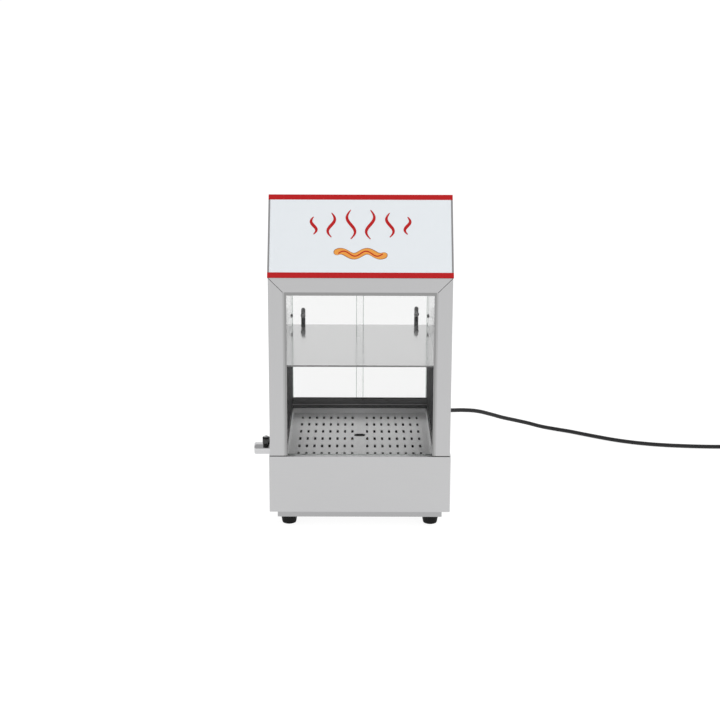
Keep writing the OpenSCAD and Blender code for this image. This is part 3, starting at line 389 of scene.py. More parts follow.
def strip_solid(left, right, place, low, high, closed):
    """Points and faces of a thin raised strip between two outlines, laid down by place(u, v, h)."""
    count = len(left)
    points = [place(u, v, h) for h in (low, high) for line in (left, right) for u, v in line]

    def corner(level, side, i):
        return (level * 2 + side) * count + i % count

    def between(a, b, i):
        """The face from row i to the next, between two of the strip's four long edges."""
        return [corner(*a, i), corner(*a, i + 1), corner(*b, i + 1), corner(*b, i)]

    faces = []
    for i in range(count if closed else count - 1):
        faces += [between((level, 0), (level, 1), i) for level in (0, 1)]
        faces += [between((0, side), (1, side), i) for side in (0, 1)]
    if not closed:
        faces += [[corner(0, 0, i), corner(0, 1, i), corner(1, 1, i), corner(1, 0, i)]
                  for i in (0, count - 1)]
    return points, faces


def strips_piece(name, strips, place, low, high, material, body):
    """Several raised strips in one mesh. A strip is (left, right, closed)."""
    points, faces = [], []
    for left, right, closed in strips:
        rows, quads = strip_solid(left, right, place, low, high, closed)
        faces.extend([[i + len(points) for i in quad] for quad in quads])
        points.extend(rows)
    return mesh_piece(name, points, faces, material, body)


def stroke(line, width_at):
    """Left and right outline of a stroke along a line, with its width by share of length."""
    left, right = [], []
    last = len(line) - 1
    for i, point in enumerate(line):
        ahead = Vector(line[min(i + 1, last)])
        behind = Vector(line[max(i - 1, 0)])
        along = (ahead - behind).normalized()
        side = Vector((-along.y, along.x)) * width_at(i / last) / 2
        centre = Vector(point)
        left.append(tuple(centre + side))
        right.append(tuple(centre - side))
    return left, right


def sweep(path, section, closed):
    """Points and faces of a section (across X, outward) carried along a path in Y and Z."""
    count, ring = len(path), len(section)
    points, faces = [], []
    for i in range(count):
        ahead = path[(i + 1) % count] if closed else path[min(i + 1, count - 1)]
        behind = path[i - 1] if closed else path[max(i - 1, 0)]
        along = (Vector(ahead) - Vector(behind)).normalized()
        out = Vector((along.y, -along.x))
        for across, outward in section:
            y, z = Vector(path[i]) + out * outward
            points.append((across, y, z))
    for i in range(count if closed else count - 1):
        for k in range(ring):
            a, b = i * ring + k, i * ring + (k + 1) % ring
            c, d = ((i + 1) % count) * ring + (k + 1) % ring, ((i + 1) % count) * ring + k
            faces.append([a, b, c, d])
    if not closed:
        faces.append(list(range(ring)))
        faces.append([(count - 1) * ring + k for k in range(ring)])
    return points, faces


# Settings


class SteamerSheet(bpy.types.PropertyGroup):
    outer_tone: bpy.props.FloatVectorProperty(
        name="Outer sheet", description="Colour of the brushed outer sheet",
        subtype="COLOR", min=0, max=1, default=(0.545, 0.545, 0.55))
    frame_tone: bpy.props.FloatVectorProperty(
        name="Frame members", description="Colour of the mitred frame members",
        subtype="COLOR", min=0, max=1, default=(0.52, 0.52, 0.525))
    pan_tone: bpy.props.FloatVectorProperty(
        name="Bottom pan", description="Colour of the pan under the base",
        subtype="COLOR", min=0, max=1, default=(0.43, 0.43, 0.435))
    bright_tone: bpy.props.FloatVectorProperty(
        name="Bright sheet", description="Colour of shelf, tray and inner sheets",
        subtype="COLOR", min=0, max=1, default=(0.69, 0.69, 0.692))
    # Painted shade: the dark tone given to the inner walls below the shelf
    lower_wall_shade: bpy.props.FloatVectorProperty(
        name="Lower walls", description="Colour of the inner walls below the shelf",
        subtype="COLOR", min=0, max=1, default=(0.05, 0.05, 0.052))
    outer_roughness: bpy.props.FloatProperty(
        name="Outer roughness", description="Roughness of the outer sheet", min=0.05, max=1, default=0.34)
    bright_roughness: bpy.props.FloatProperty(
        name="Bright roughness", description="Roughness of the inner sheets", min=0.02, max=1, default=0.16)
    edge_round: bpy.props.FloatProperty(
        name="Edge rounding", description="Width of the broken edges of the sheets",
        unit="LENGTH", min=0, max=1 * MM, default=0.3 * MM)
    seam_width: bpy.props.FloatProperty(
        name="Mitre seam", description="Width of the dark line at the frame's mitres",
        unit="LENGTH", min=0, max=2 * MM, default=0.8 * MM)


class SteamerGlass(bpy.types.PropertyGroup):
    front_tint: bpy.props.FloatVectorProperty(
        name="Front glass", description="What one face of the front pane lets through",
        subtype="COLOR", min=0, max=1, default=(0.925, 0.9255, 0.925))
    door_tint: bpy.props.FloatVectorProperty(
        name="Door glass", description="What one face of a door lets through",
        subtype="COLOR", min=0, max=1, default=(0.996, 0.997, 0.9965))
    edge_tint: bpy.props.FloatVectorProperty(
        name="Glass edge", description="What the ground edges let through",
        subtype="COLOR", min=0, max=1, default=(0.62, 0.66, 0.64))
    edge_width: bpy.props.FloatProperty(
        name="Ground edge", description="Width of the ground edge seen through the pane",
        unit="LENGTH", min=0, max=5 * MM, default=1.0 * MM)
    pull_end: bpy.props.FloatProperty(
        name="Pull end", description="Length of a pull's lighter end",
        unit="LENGTH", min=5 * MM, max=40 * MM, default=19 * MM)
    bead_band: bpy.props.FloatProperty(
        name="Bead's bright band", description="Width of the bead's brighter band beside the posts",
        unit="LENGTH", min=0, max=5 * MM, default=2.2 * MM)


class SteamerSign(bpy.types.PropertyGroup):
    panel_tone: bpy.props.FloatVectorProperty(
        name="Panel", description="Colour of the sign panel",
        subtype="COLOR", min=0, max=1, default=(0.765, 0.80, 0.83))
    red: bpy.props.FloatVectorProperty(
        name="Red", description="Colour of the trims and of the steam print",
        subtype="COLOR", min=0, max=1, default=(0.47, 0.006, 0.008))
    ochre: bpy.props.FloatVectorProperty(
        name="Ribbon", description="Colour of the printed ribbon",
        subtype="COLOR", min=0, max=1, default=(0.80, 0.33, 0.06))
    brown: bpy.props.FloatVectorProperty(
        name="Ribbon outline", description="Colour of the ribbon's outline",
        subtype="COLOR", min=0, max=1, default=(0.25, 0.06, 0.015))
    stroke_width: bpy.props.FloatProperty(
        name="Stroke", description="Greatest width of a printed wisp",
        unit="LENGTH", min=1 * MM, max=12 * MM, default=5.2 * MM)
    print_proud: bpy.props.FloatProperty(
        name="Print", description="Thickness of the printed film",
        unit="LENGTH", min=0.02 * MM, max=0.4 * MM, default=0.1 * MM)
    ribbon_length: bpy.props.FloatProperty(
        name="Ribbon length", description="Length of the printed ribbon",
        unit="LENGTH", min=40 * MM, max=150 * MM, default=84 * MM)
    ribbon_width: bpy.props.FloatProperty(
        name="Ribbon width", description="Width of the printed ribbon",
        unit="LENGTH", min=3 * MM, max=20 * MM, default=9.5 * MM)


class SteamerControls(bpy.types.PropertyGroup):
    mark_tone: bpy.props.FloatVectorProperty(
        name="Marks", description="Colour of the dial's marks",
        subtype="COLOR", min=0, max=1, default=(0.02, 0.02, 0.022))
    tick_radius: bpy.props.FloatProperty(
        name="Tick radius", description="Inner radius of the dial's ticks",
        unit="LENGTH", min=21.5 * MM, max=30 * MM, default=22.6 * MM)
    figure_height: bpy.props.FloatProperty(
        name="Figures", description="Height of the dial's figures",
        unit="LENGTH", min=2 * MM, max=8 * MM, default=5 * MM)
    full_turn: bpy.props.FloatProperty(
        name="Dial range", description="Angle that the dial's scale covers",
        subtype="ANGLE", min=0, max=math.tau, default=math.radians(270))


class SteamerLead(bpy.types.PropertyGroup):
    diameter: bpy.props.FloatProperty(
        name="Diameter", description="Diameter of the mains lead",
        unit="LENGTH", min=5 * MM, max=9 * MM, default=7.8 * MM)
    length: bpy.props.FloatProperty(
        name="Length", description="Length of the lead from the strain relief to the plug",
        unit="LENGTH", min=0.5, max=3, default=1.72)
    coil_radius: bpy.props.FloatProperty(
        name="Coil radius", description="Radius of the coil's outer turn",
        unit="LENGTH", min=40 * MM, max=80 * MM, default=45 * MM)
    turn_pitch: bpy.props.FloatProperty(
        name="Turn pitch", description="Distance of neighbouring turns and layers",
        unit="LENGTH", min=7 * MM, max=12 * MM, default=8.6 * MM)
    strap_width: bpy.props.FloatProperty(
        name="Strap", description="Width of the strap round the coil",
        unit="LENGTH", min=6 * MM, max=20 * MM, default=10 * MM)


class SteamerStage(bpy.types.PropertyGroup):
    distance: bpy.props.FloatProperty(
        name="Camera distance", description="Distance of the camera in front of the cabinet's front plane",
        unit="LENGTH", min=0.5, max=10, default=2.344)
    height: bpy.props.FloatProperty(
        name="Camera height", description="Height of the camera above the table",
        unit="LENGTH", min=0, max=3, default=0.912)
    aside: bpy.props.FloatProperty(
        name="Camera aside", description="How far the camera stands to the right of the cabinet's middle",
        unit="LENGTH", min=-1, max=1, default=-6 * MM)
    tilt: bpy.props.FloatProperty(
        name="Camera tilt", description="How far the camera looks down",
        subtype="ANGLE", min=0, max=math.pi / 2, default=math.radians(14.8))
    heading: bpy.props.FloatProperty(
        name="Camera heading", description="How far the camera is turned about the upright",
        subtype="ANGLE", min=-1, max=1, default=-0.0024)
    roll: bpy.props.FloatProperty(
        name="Camera roll", description="How far the camera is turned about its own line of sight",
        subtype="ANGLE", min=-1, max=1, default=0.0033)
    lens: bpy.props.FloatProperty(
        name="Lens", description="Focal length in millimetres", min=10, max=300, default=74.75)
    sky_level: bpy.props.FloatProperty(
        name="Sky", description="Level of the light from all round", min=0, max=2, default=0.74)
    lamp_power: bpy.props.FloatProperty(
        name="Lamps", description="Power of each soft lamp", unit="POWER", min=0, max=100, default=13)
    dark_card: bpy.props.FloatProperty(
        name="Dark card", description="How much darker polished metal sees the room in front and above",
        min=0, max=1, default=0.5)


class SteamerSettings(bpy.types.PropertyGroup):
    sheet: bpy.props.PointerProperty(type=SteamerSheet)
    glass: bpy.props.PointerProperty(type=SteamerGlass)
    sign: bpy.props.PointerProperty(type=SteamerSign)
    controls: bpy.props.PointerProperty(type=SteamerControls)
    lead: bpy.props.PointerProperty(type=SteamerLead)
    stage: bpy.props.PointerProperty(type=SteamerStage)


# Operators


class STEAMER_OT_camera(bpy.types.Operator):
    """Sets up the camera in front of the steamer"""

    bl_idname = "steamer.camera"
    bl_label = "Camera"

    def execute(self, context):
        stage = context.scene.steamer.stage
        data = bpy.data.cameras.new("front_camera")
        data.lens = stage.lens
        data.sensor_width = 36
        data.clip_start = 0.05
        data.clip_end = 200
        camera = bpy.data.objects.new("front_camera", data)
        camera.matrix_world = (Matrix.Translation(at(stage.aside, -stage.distance, stage.height))
                               @ Matrix.Rotation(stage.heading, 4, "Z")
                               @ Matrix.Rotation(math.pi / 2 - stage.tilt, 4, "X")
                               @ Matrix.Rotation(stage.roll, 4, "Z"))
        context.scene.collection.objects.link(camera)
        context.scene.camera = camera
        return {"FINISHED"}


# The lead's route in metres from the cabinet's origin, from the strain relief to the coil
ROUTE = [
    (0.115, 0.363, 0.084), (0.115, 0.3708, 0.084), (0.120, 0.392, 0.084), (0.132, 0.410, 0.083),
    (0.150, 0.425, 0.080), (0.178, 0.443, 0.075), (0.204, 0.461, 0.070), (0.232, 0.478, 0.063),
    (0.260, 0.497, 0.051), (0.286, 0.514, 0.039), (0.312, 0.529, 0.029), (0.340, 0.540, 0.0195),
    (0.368, 0.5458, 0.0105), (0.396, 0.545, 0.0055), (0.424, 0.533, 0.0042), (0.448, 0.516, 0.0042),
    (0.474, 0.498, 0.0042), (0.502, 0.480, 0.0042), (0.532, 0.465, 0.0042), (0.566, 0.453, 0.0042),
    (0.600, 0.445, 0.0042), (0.636, 0.440, 0.0042), (0.670, 0.437, 0.0042), (0.704, 0.436, 0.0042),
    (0.730, 0.436, 0.0048), (0.7502, 0.436, 0.0055),
]
COIL_X, COIL_Y, COIL_Z = 0.758, 0.391, 0.0055
COIL_TURNS = 2
COIL_STEPS = 24
LEAD_OUT_STEPS = 6
PLUG_POINT = (0.805, 0.443, 0.012)


def ease(s):
    """A share from 0 to 1 that starts and ends gently."""
    return s * s * (3 - 2 * s)


def coil_point(t, radius, pitch):
    """A point of the coil after t turns: inwards on the table, outwards again one layer up."""
    lift = pitch * ease(min(max((t - COIL_TURNS + 0.25) / 0.5, 0), 1))
    now = radius - pitch * (t if t < COIL_TURNS else 2 * COIL_TURNS - t)
    return (COIL_X + now * math.sin(math.tau * t), COIL_Y + now * math.cos(math.tau * t), COIL_Z + lift)


def lead_points(lead):
    """All points of the lead: route, coil turns and the short way to the plug."""
    points = list(ROUTE)
    steps = 2 * COIL_TURNS * COIL_STEPS
    points += [coil_point(i / COIL_STEPS, lead.coil_radius, lead.turn_pitch) for i in range(steps + 1)]
    x, y, z = points[-1]
    for i in range(1, LEAD_OUT_STEPS + 1):
        s = i / LEAD_OUT_STEPS
        points.append((x + s * (PLUG_POINT[0] - lead.diameter - x), y + ease(s) * (PLUG_POINT[1] - y),
                       z + ease(s) * (PLUG_POINT[2] - z)))
    return points + [PLUG_POINT]


# The strap round the coil, and its loose end: its points, where they begin, and their steps on and up
STRAP_THICK = 1.0 * MM
STRAP_BEND = 2.2 * MM
TAIL_POINTS = 9
TAIL_FROM = 6
TAIL_STEP = 1.6 * MM
TAIL_GAP, TAIL_RISE = 0.05 * MM, 0.02 * MM

# Length of the plug's pins, and how far the plug's edges are rounded
PIN_LENGTH = 16.4 * MM
PLUG_ROUND = 0.4 * MM


def strap_section(width, thick):
    """Outline of the strap, a flat band with blunt edges, across X and outward."""
    side, flat = width / 2, width / 2 - thick * 0.6
    low, high = thick * 0.3, thick * 0.7
    return [(-side, low), (-flat, 0), (flat, 0), (side, low),
            (side, high), (flat, thick), (-flat, thick), (-side, high)]


def rounded_loop(y0, y1, z0, z1, radius, steps=8):
    """A closed loop with round corners in Y and Z."""
    loop = []
    corners = [(y1 - radius, z0 + radius, -90), (y1 - radius, z1 - radius, 0),
               (y0 + radius, z1 - radius, 90), (y0 + radius, z0 + radius, 180)]
    for y, z, start in corners:
        for k in range(steps + 1):
            angle = math.radians(start + 90 * k / steps)
            loop.append((y + radius * math.cos(angle), z + radius * math.sin(angle)))
    return loop


class STEAMER_OT_lead(bpy.types.Operator):
    """Makes the mains lead with its strap, and finishes plug and strain relief"""

    bl_idname = "steamer.lead"
    bl_label = "Mains lead"

    def execute(self, context):
        lead = context.scene.steamer.lead
        jacket = plastic("lead_jacket", (0.012, 0.012, 0.013), 0.5, specular=0.4, scale=1100)
        rubber = plastic("plug_rubber", (0.014, 0.014, 0.015), 0.42, specular=0.45)
        brass = cast("plug_pins", (0.72, 0.66, 0.50), 0.24)

        curve = bpy.data.curves.new("mains_lead", "CURVE")
        curve.dimensions = "3D"
        curve.resolution_u = 4
        curve.bevel_depth = lead.diameter / 2
        curve.bevel_resolution = 5
        curve.use_fill_caps = True
        points = lead_points(lead)
        spline = curve.splines.new("BEZIER")
        spline.bezier_points.add(len(points) - 1)
        for knot, point in zip(spline.bezier_points, points):
            knot.co = at(*point)
            knot.handle_left_type = "AUTO"
            knot.handle_right_type = "AUTO"
        curve.materials.append(jacket)
        cord = bpy.data.objects.new("mains_lead", curve)
        context.scene.collection.objects.link(cord)
        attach(cord, "cabinet")
        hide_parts("power_cord", "cord_coil")

        low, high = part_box("cord_tie")
        loop = rounded_loop(low.y + STRAP_THICK, high.y - STRAP_THICK,
                            low.z + STRAP_THICK, high.z - STRAP_THICK, STRAP_BEND)
        points, faces = sweep(loop, strap_section(lead.strap_width, STRAP_THICK * 0.96), True)
        middle = (low.y + high.y) / 2
        tail = [(middle + (TAIL_FROM - k) * TAIL_STEP, high.z + TAIL_GAP + TAIL_RISE * k)
                for k in range(TAIL_POINTS)]
        more, ends = sweep(tail, strap_section(lead.strap_width * 0.9, STRAP_THICK * 0.8), False)
        faces += [[i + len(points) for i in face] for face in ends]
        points += more
        centre = (low.x + high.x) / 2
        strap = mesh_piece("lead_strap", [(x + centre, y, z) for x, y, z in points], faces,
                           woven("strap_weave", (0.16, 0.16, 0.165)), "cabinet", smooth=40)
        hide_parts("cord_tie")

        give(rubber, "strain_relief", "mains_plug")
        plug = NODES["mains_plug"]
        plug.data.materials.append(brass)
        pins_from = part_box("mains_plug")[1].x - PIN_LENGTH
        for face in plug.data.polygons:
            face.material_index = int(face.center.x > pins_from)
        soften("mains_plug", PLUG_ROUND)
        return {"FINISHED"}


class STEAMER_OT_outer_sheet(bpy.types.Operator):
    """Finishes base, pan, frames, side panels and hood"""

    bl_idname = "steamer.outer_sheet"
    bl_label = "Outer sheet"

    def execute(self, context):
        sheet = context.scene.steamer.sheet
        rough = sheet.outer_roughness
        level = ("base_shell", "side_panel_left", "side_panel_right", "hood_shell", "hood_ends")
        rails = ("front_frame_top", "rear_frame_top")
        posts = ("front_frame_left", "front_frame_right", "rear_frame_left", "rear_frame_right")
        give(brushed("steel_level", sheet.outer_tone, rough), *level)
        give(brushed("steel_rails", sheet.frame_tone, rough), *rails)
        give(brushed("steel_posts", sheet.frame_tone, rough, upright=True), *posts)
        give(brushed("steel_pan", sheet.pan_tone, rough + 0.06), "bottom_pan")
        for node in level + rails + posts:
            soften(node, sheet.edge_round)

        seam = plastic("seam_shadow", (0.04, 0.04, 0.04), 0.6, specular=0.2)
        left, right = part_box("front_frame_left"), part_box("front_frame_right")
        top_low, top_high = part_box("front_frame_top")
        strips = []
        for outer, inner in ((top_low.x, left[1].x), (top_high.x, right[0].x)):
            line = [(inner, top_low.z), (outer, top_high.z)]
            strips.append((*stroke(line, lambda share: sheet.seam_width), False))
        planes = (("front", top_low.y, -1), ("rear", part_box("rear_frame_top")[1].y, 1))
        for name, plane, out in planes:
            strips_piece(f"mitre_seams_{name}", strips,
                         lambda u, v, h, plane=plane, out=out: (u, plane + out * h, v),
                         SEAM_SUNK, SEAM_PROUD, seam, "cabinet")
        return {"FINISHED"}


# Tones of inner sheets, and the painted shade on the shelf's front edge and on the water tank, as shares of the
# bright sheet's tone
SHELF_SHARE, SHELF_EDGE_SHADE_SHARE = 0.97, 0.36
TRAY_SHARE, TRAY_RIM_SHARE = 1.08, 1.38
TANK_SHADE_SHARE = 0.16


class STEAMER_OT_inner_sheet(bpy.types.Operator):
    """Finishes liners, ceiling, shelf, tray and water tank"""

    bl_idname = "steamer.inner_sheet"
    bl_label = "Inner sheet"

    def execute(self, context):
        sheet = context.scene.steamer.sheet
        bright, rough = sheet.bright_tone, sheet.bright_roughness
        give(brushed("bright_sheet", bright, rough, spread=0.04), "ceiling_panel", "shelf_ledges")
        # The shelf's front edge gets a darker tone: painted shade along the edge
        give(brushed("shelf_sheet", scaled(bright, SHELF_SHARE), rough - 0.04, spread=0.04,
                     edge_shade=scaled(bright, SHELF_EDGE_SHADE_SHARE)), "bun_shelf")
        give(brushed("tray_sheet", scaled(bright, TRAY_SHARE), 0.48, spread=0.05), "perforated_tray")
        give(brushed("rim_sheet", scaled(bright, TRAY_RIM_SHARE), 0.34, spread=0.03), "tray_rim")
        # The liners are painted dark below the shelf: painted shade
        give(brushed("bright_walls_shaded_below", bright, rough, spread=0.04, shade_below=(SHELF_UNDER, sheet.lower_wall_shade)),
             "side_liner_left", "side_liner_right")
        # The water tank is painted dark as shade, where it lies under the tray
        give(brushed("tank_painted_shade", scaled(bright, TANK_SHADE_SHARE), 0.45), "water_tank")
        for node in ("bun_shelf", "tray_rim"):
            soften(node, sheet.edge_round * 0.8)
        return {"FINISHED"}


class STEAMER_OT_glazing(bpy.types.Operator):
    """Finishes panes, bead, door tracks and pulls"""

    bl_idname = "steamer.glazing"
    bl_label = "Glazing"

    def execute(self, context):
        glass = context.scene.steamer.glass
        give(pane("front_pane", glass.front_tint, glass.edge_tint), "front_glass")
        for side in ("left", "right"):
            low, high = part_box(f"door_glass_{side}")
            bands = [(low.x, low.x + glass.edge_width), (high.x - glass.edge_width, high.x)]
            give(pane(f"door_pane_{side}", glass.door_tint, glass.edge_tint, bands), f"door_glass_{side}")
        low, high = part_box("glass_bead")
        give(brushed("bead_metal", (0.34, 0.34, 0.34), 0.45, upright=True,
                     sides=(low.x, high.x, glass.bead_band, (0.47, 0.47, 0.47))), "glass_bead")
        give(plastic("track_profile", (0.14, 0.14, 0.142), 0.4, specular=0.4),
             "door_track_lower", "door_track_upper")
        low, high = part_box("door_pull_left")
        ends = (low.z + glass.pull_end, high.z - glass.pull_end, (0.62, 0.62, 0.625))
        give(plastic("pull_moulding", (0.17, 0.17, 0.173), 0.38, ends=ends),
             "door_pull_left", "door_pull_right")
        return {"FINISHED"}


# The sign stands on the header's foot and leans back; its face lies a sheet's thickness out
SLOPE_FOOT = at(0, 0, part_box("sign_trims")[0].z)
SLOPE_LEAN = math.radians(30.5)
PANEL_FACE = 1.2 * MM

# Steam wisps in millimetres: place across, foot and height up the slope, sway, and the way it starts
WISPS = [
    (-76, 74, 30, 5.0, 1), (-47, 69, 42, 6.5, -1), (-16, 66, 50, 7.5, 1),
    (16, 66, 50, 7.5, -1), (47, 69, 42, 6.5, 1), (76, 74, 30, 5.0, -1),
]
WISP_STEPS = 32

# The ribbon's middle line up the slope, and its outline's width
RIBBON_STEPS = 80
RIBBON_HEIGHT, RIBBON_WAVE = 41 * MM, 4.2 * MM
RIBBON_EDGE = 0.8 * MM
RIBBON_LINE = 1.9 * MM


def on_slope(u, v, h):
    """A point on the sign: u across, v up the slope, h out of the panel's face."""
    out = PANEL_FACE + h
    return SLOPE_FOOT + Vector((u, v * math.sin(SLOPE_LEAN) - out * math.cos(SLOPE_LEAN),
                                v * math.cos(SLOPE_LEAN) + out * math.sin(SLOPE_LEAN)))


def wisp_line(x, foot, height, sway, way):
    """Middle line of a wisp: one wave that calms down as it rises."""
    line = []
    for i in range(WISP_STEPS + 1):
        s = i / WISP_STEPS
        wave = way * sway * math.sin(math.tau * s) * (1 - 0.25 * s)
        line.append(((x + wave) * MM, (foot + height * s) * MM))
    return line


def wisp_share(s):
    """A wisp's width as a share of its greatest, by share of length: thin at both ends."""
    return 0.12 + 0.88 * math.sin(math.pi * min(1, s * 0.92 + 0.04)) ** 0.8


def ribbon_line(reach):
    """Middle line of the ribbon, two waves from end to end."""
    line = []
    for i in range(RIBBON_STEPS + 1):
        s = 2 * i / RIBBON_STEPS - 1
        line.append((reach * s, RIBBON_HEIGHT + RIBBON_WAVE * math.sin(math.tau * s)))
    return line


def round_ended(width, reach):
    """Width of a stroke with round ends, by share of length."""
    end = width / (4 * reach)
    return lambda s: width * math.sqrt(max(0.02, 1 - max(0, 1 - min(s, 1 - s) / end) ** 2))


class STEAMER_OT_sign(bpy.types.Operator):
    """Finishes the sign panel and its trims, and prints steam wisps and a ribbon on it"""

    bl_idname = "steamer.sign"
    bl_label = "Sign"

    def execute(self, context):
        sign = context.scene.steamer.sign
        panel = plastic("sign_panel_white", sign.panel_tone, 0.4, specular=0.35, spread=0.012,
                        depth=PRINT_DEPTH)
        red = plastic("sign_red", sign.red, 0.42, specular=0.25, spread=0.05, depth=PRINT_DEPTH)
        ochre = plastic("print_ochre", sign.ochre, 0.42, specular=0.25, spread=0.06, depth=PRINT_DEPTH)
        brown = plastic("print_brown", sign.brown, 0.45, specular=0.25, spread=0.06, depth=PRINT_DEPTH)
        give(panel, "sign_panel")
        give(red, "sign_trims")

        wisps = [(*stroke(wisp_line(*wisp), lambda s: sign.stroke_width * wisp_share(s)), False)
                 for wisp in WISPS]
        strips_piece("sign_wisps", wisps, on_slope, PRINT_SUNK, sign.print_proud, red,
                     "cabinet")

        half = sign.ribbon_length / 2
        layers = [
            ("sign_ribbon_edge", sign.ribbon_width + 2 * RIBBON_EDGE, half + RIBBON_EDGE, 0.5, brown),
            ("sign_ribbon", sign.ribbon_width, half, 0.8, ochre),
            ("sign_ribbon_line", RIBBON_LINE, half * 0.86, 1.1, red),
        ]
        for name, width, reach, proud, material in layers:
            outline = stroke(ribbon_line(reach), round_ended(width, reach))
            strips_piece(name, [(*outline, False)], on_slope, PRINT_SUNK, sign.print_proud * proud,
                         material, "cabinet")
        return {"FINISHED"}


class STEAMER_OT_fasteners(bpy.types.Operator):
    """Finishes all screws and clips"""

    bl_idname = "steamer.fasteners"
    bl_label = "Fasteners"

    def execute(self, context):
        give(cast("zinc_screws", (0.5, 0.5, 0.505), 0.3), *nodes_of("fastener_steel"))
        give(cast("wall_screw_steel", (0.12, 0.12, 0.12), 0.35), "wall_screws")
        return {"FINISHED"}


class STEAMER_OT_drain(bpy.types.Operator):
    """Finishes the drain valve, its pipe, nuts, seals and lever"""

    bl_idname = "steamer.drain"
    bl_label = "Drain valve"

    def execute(self, context):
        give(cast("chrome_plate", (0.60, 0.60, 0.61), 0.12, spread=0.03), *nodes_of("chrome"))
        give(plastic("red_silicone", (0.35, 0.03, 0.02), 0.5), *nodes_of("red_silicone"))
        give(plastic("lever_plastic", (0.007, 0.007, 0.007), 0.5, specular=0.2), "valve_lever")
        return {"FINISHED"}


class STEAMER_OT_heater(bpy.types.Operator):
    """Finishes the heating element with its bushings"""

    bl_idname = "steamer.heater"
    bl_label = "Heater"

    def execute(self, context):
        give(cast("element_sheath", (0.13, 0.125, 0.12), 0.4, scale=500, spread=0.2), "heating_element")
        give(cast("brass_bushings", (0.62, 0.42, 0.16), 0.28), "element_bushings")
        give(cast("copper_bulb", (0.75, 0.32, 0.18), 0.26), "thermostat_bulb")
        return {"FINISHED"}


# The dial's scale: gaps between ticks, the ticks' lengths, widths, and thickness of the print
DIAL_GAPS = 27
LONG_TICK, SHORT_TICK = 3.2 * MM, 1.8 * MM
TICK_WIDTH, ARC_WIDTH = 0.5 * MM, 0.4 * MM
ARC_STEPS = 64
SCALE_PROUD = 0.06 * MM

# The dial's figures: each with its angle, how far outside the ticks, how thick and how far lifted
DIAL_FIGURES = (("0", 0), ("30", 60), ("50", 120), ("70", 180), ("90", 240))
FIGURES_OUT = 6.6 * MM
FIGURE_HALF, FIGURE_LIFT = 0.05 * MM, 0.02 * MM

# The rocker's face: its lean at rest, its height over the hinge, and its rise to both ends
ROCKER_LEAN = math.radians(-7)
ROCKER_FACE = 3.4 * MM
ROCKER_RISE = 2.2 / 10.46

# The marks on it: half the bar's width, its ends, the ring's radii, middle and steps, and their depth
BAR_HALF, BAR_LOW, BAR_HIGH = 0.45 * MM, 4 * MM, 8 * MM
RING_RADII = (2.2 * MM, 1.4 * MM)
RING_MIDDLE = -6 * MM
RING_STEPS = 32
MARK_SUNK, MARK_PROUD = -0.1 * MM, 0.08 * MM


def round_points(radius, angles, rise=0.0):
    """Points at these angles, clockwise from the top, on a circle whose middle is raised."""
    return [(radius * math.sin(angle), rise + radius * math.cos(angle)) for angle in angles]


class STEAMER_OT_controls(bpy.types.Operator):
    """Finishes thermostat, switch and lamp, and prints the dial's scale and the rocker's marks"""

    bl_idname = "steamer.controls"
    bl_label = "Controls"

    def execute(self, context):
        controls = context.scene.steamer.controls
        black = plastic("control_plastic", (0.02, 0.02, 0.021), 0.34)
        give(black, "thermostat_knob", "switch_housing", "switch_rocker")
        give(plastic("thermostat_case", (0.10, 0.055, 0.03), 0.5), "thermostat_body")
        give(plastic("terminal_ceramic", (0.78, 0.76, 0.70), 0.45, spread=0.04), "terminal_block")
        give(plastic("lamp_lens", (0.85, 0.20, 0.02), 0.16, coat=0.6, spread=0.1, depth=PRINT_DEPTH),
             "pilot_lamp")
        ink = plastic("dial_ink", controls.mark_tone, 0.5, specular=0.2)
        back = BASE_HIGH.y
        centre = HINGE_AT["thermostat_turn"]
        radius = controls.tick_radius

        def on_back(u, v, h):
            return (centre.x - u, back + h, centre.z + v)

        strips = []
        for step in range(DIAL_GAPS + 1):
            angle = [controls.full_turn * step / DIAL_GAPS]
            tick = SHORT_TICK if step % 3 else LONG_TICK
            line = round_points(radius, angle) + round_points(radius + tick, angle)
            strips.append((*stroke(line, lambda s: TICK_WIDTH), False))
        arc = round_points(radius, [controls.full_turn * i / ARC_STEPS for i in range(ARC_STEPS + 1)])
        strips.append((*stroke(arc, lambda s: ARC_WIDTH), False))
        strips_piece("dial_scale", strips, on_back, PRINT_SUNK, SCALE_PROUD, ink,
                     "cabinet")

        for text, angle in DIAL_FIGURES:
            curve = bpy.data.curves.new(f"dial_figure_{text}", "FONT")
            curve.body = text
            curve.size = controls.figure_height
            curve.extrude = FIGURE_HALF
            curve.align_x = "CENTER"
            curve.align_y = "CENTER"
            curve.materials.append(ink)
            figure = bpy.data.objects.new(f"dial_figure_{text}", curve)
            [(across, up)] = round_points(radius + FIGURES_OUT, [math.radians(angle)])
            figure.location = on_back(across, up, FIGURE_LIFT)
            figure.rotation_euler = (math.pi / 2, 0, math.pi)
            context.scene.collection.objects.link(figure)
            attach(figure, "cabinet")

        white = plastic("rocker_ink", (0.75, 0.75, 0.75), 0.5, specular=0.2, spread=0.04)
        hinge = HINGE_AT["rocker_tilt"]
        tilt = Matrix.Rotation(ROCKER_LEAN, 3, "X")

        def on_rocker(u, v, h):
            return hinge + tilt @ Vector((u, ROCKER_FACE + abs(v) * ROCKER_RISE + h, v))

        bar = [[(side, BAR_LOW), (side, BAR_HIGH)] for side in (-BAR_HALF, BAR_HALF)]
        turn = [math.tau * i / RING_STEPS for i in range(RING_STEPS)]
        ring = [round_points(reach, turn, RING_MIDDLE) for reach in RING_RADII]
        strips_piece("rocker_marks", [(*bar, False), (*ring, True)], on_rocker, MARK_SUNK, MARK_PROUD,
                     white, "rocker")
        return {"FINISHED"}


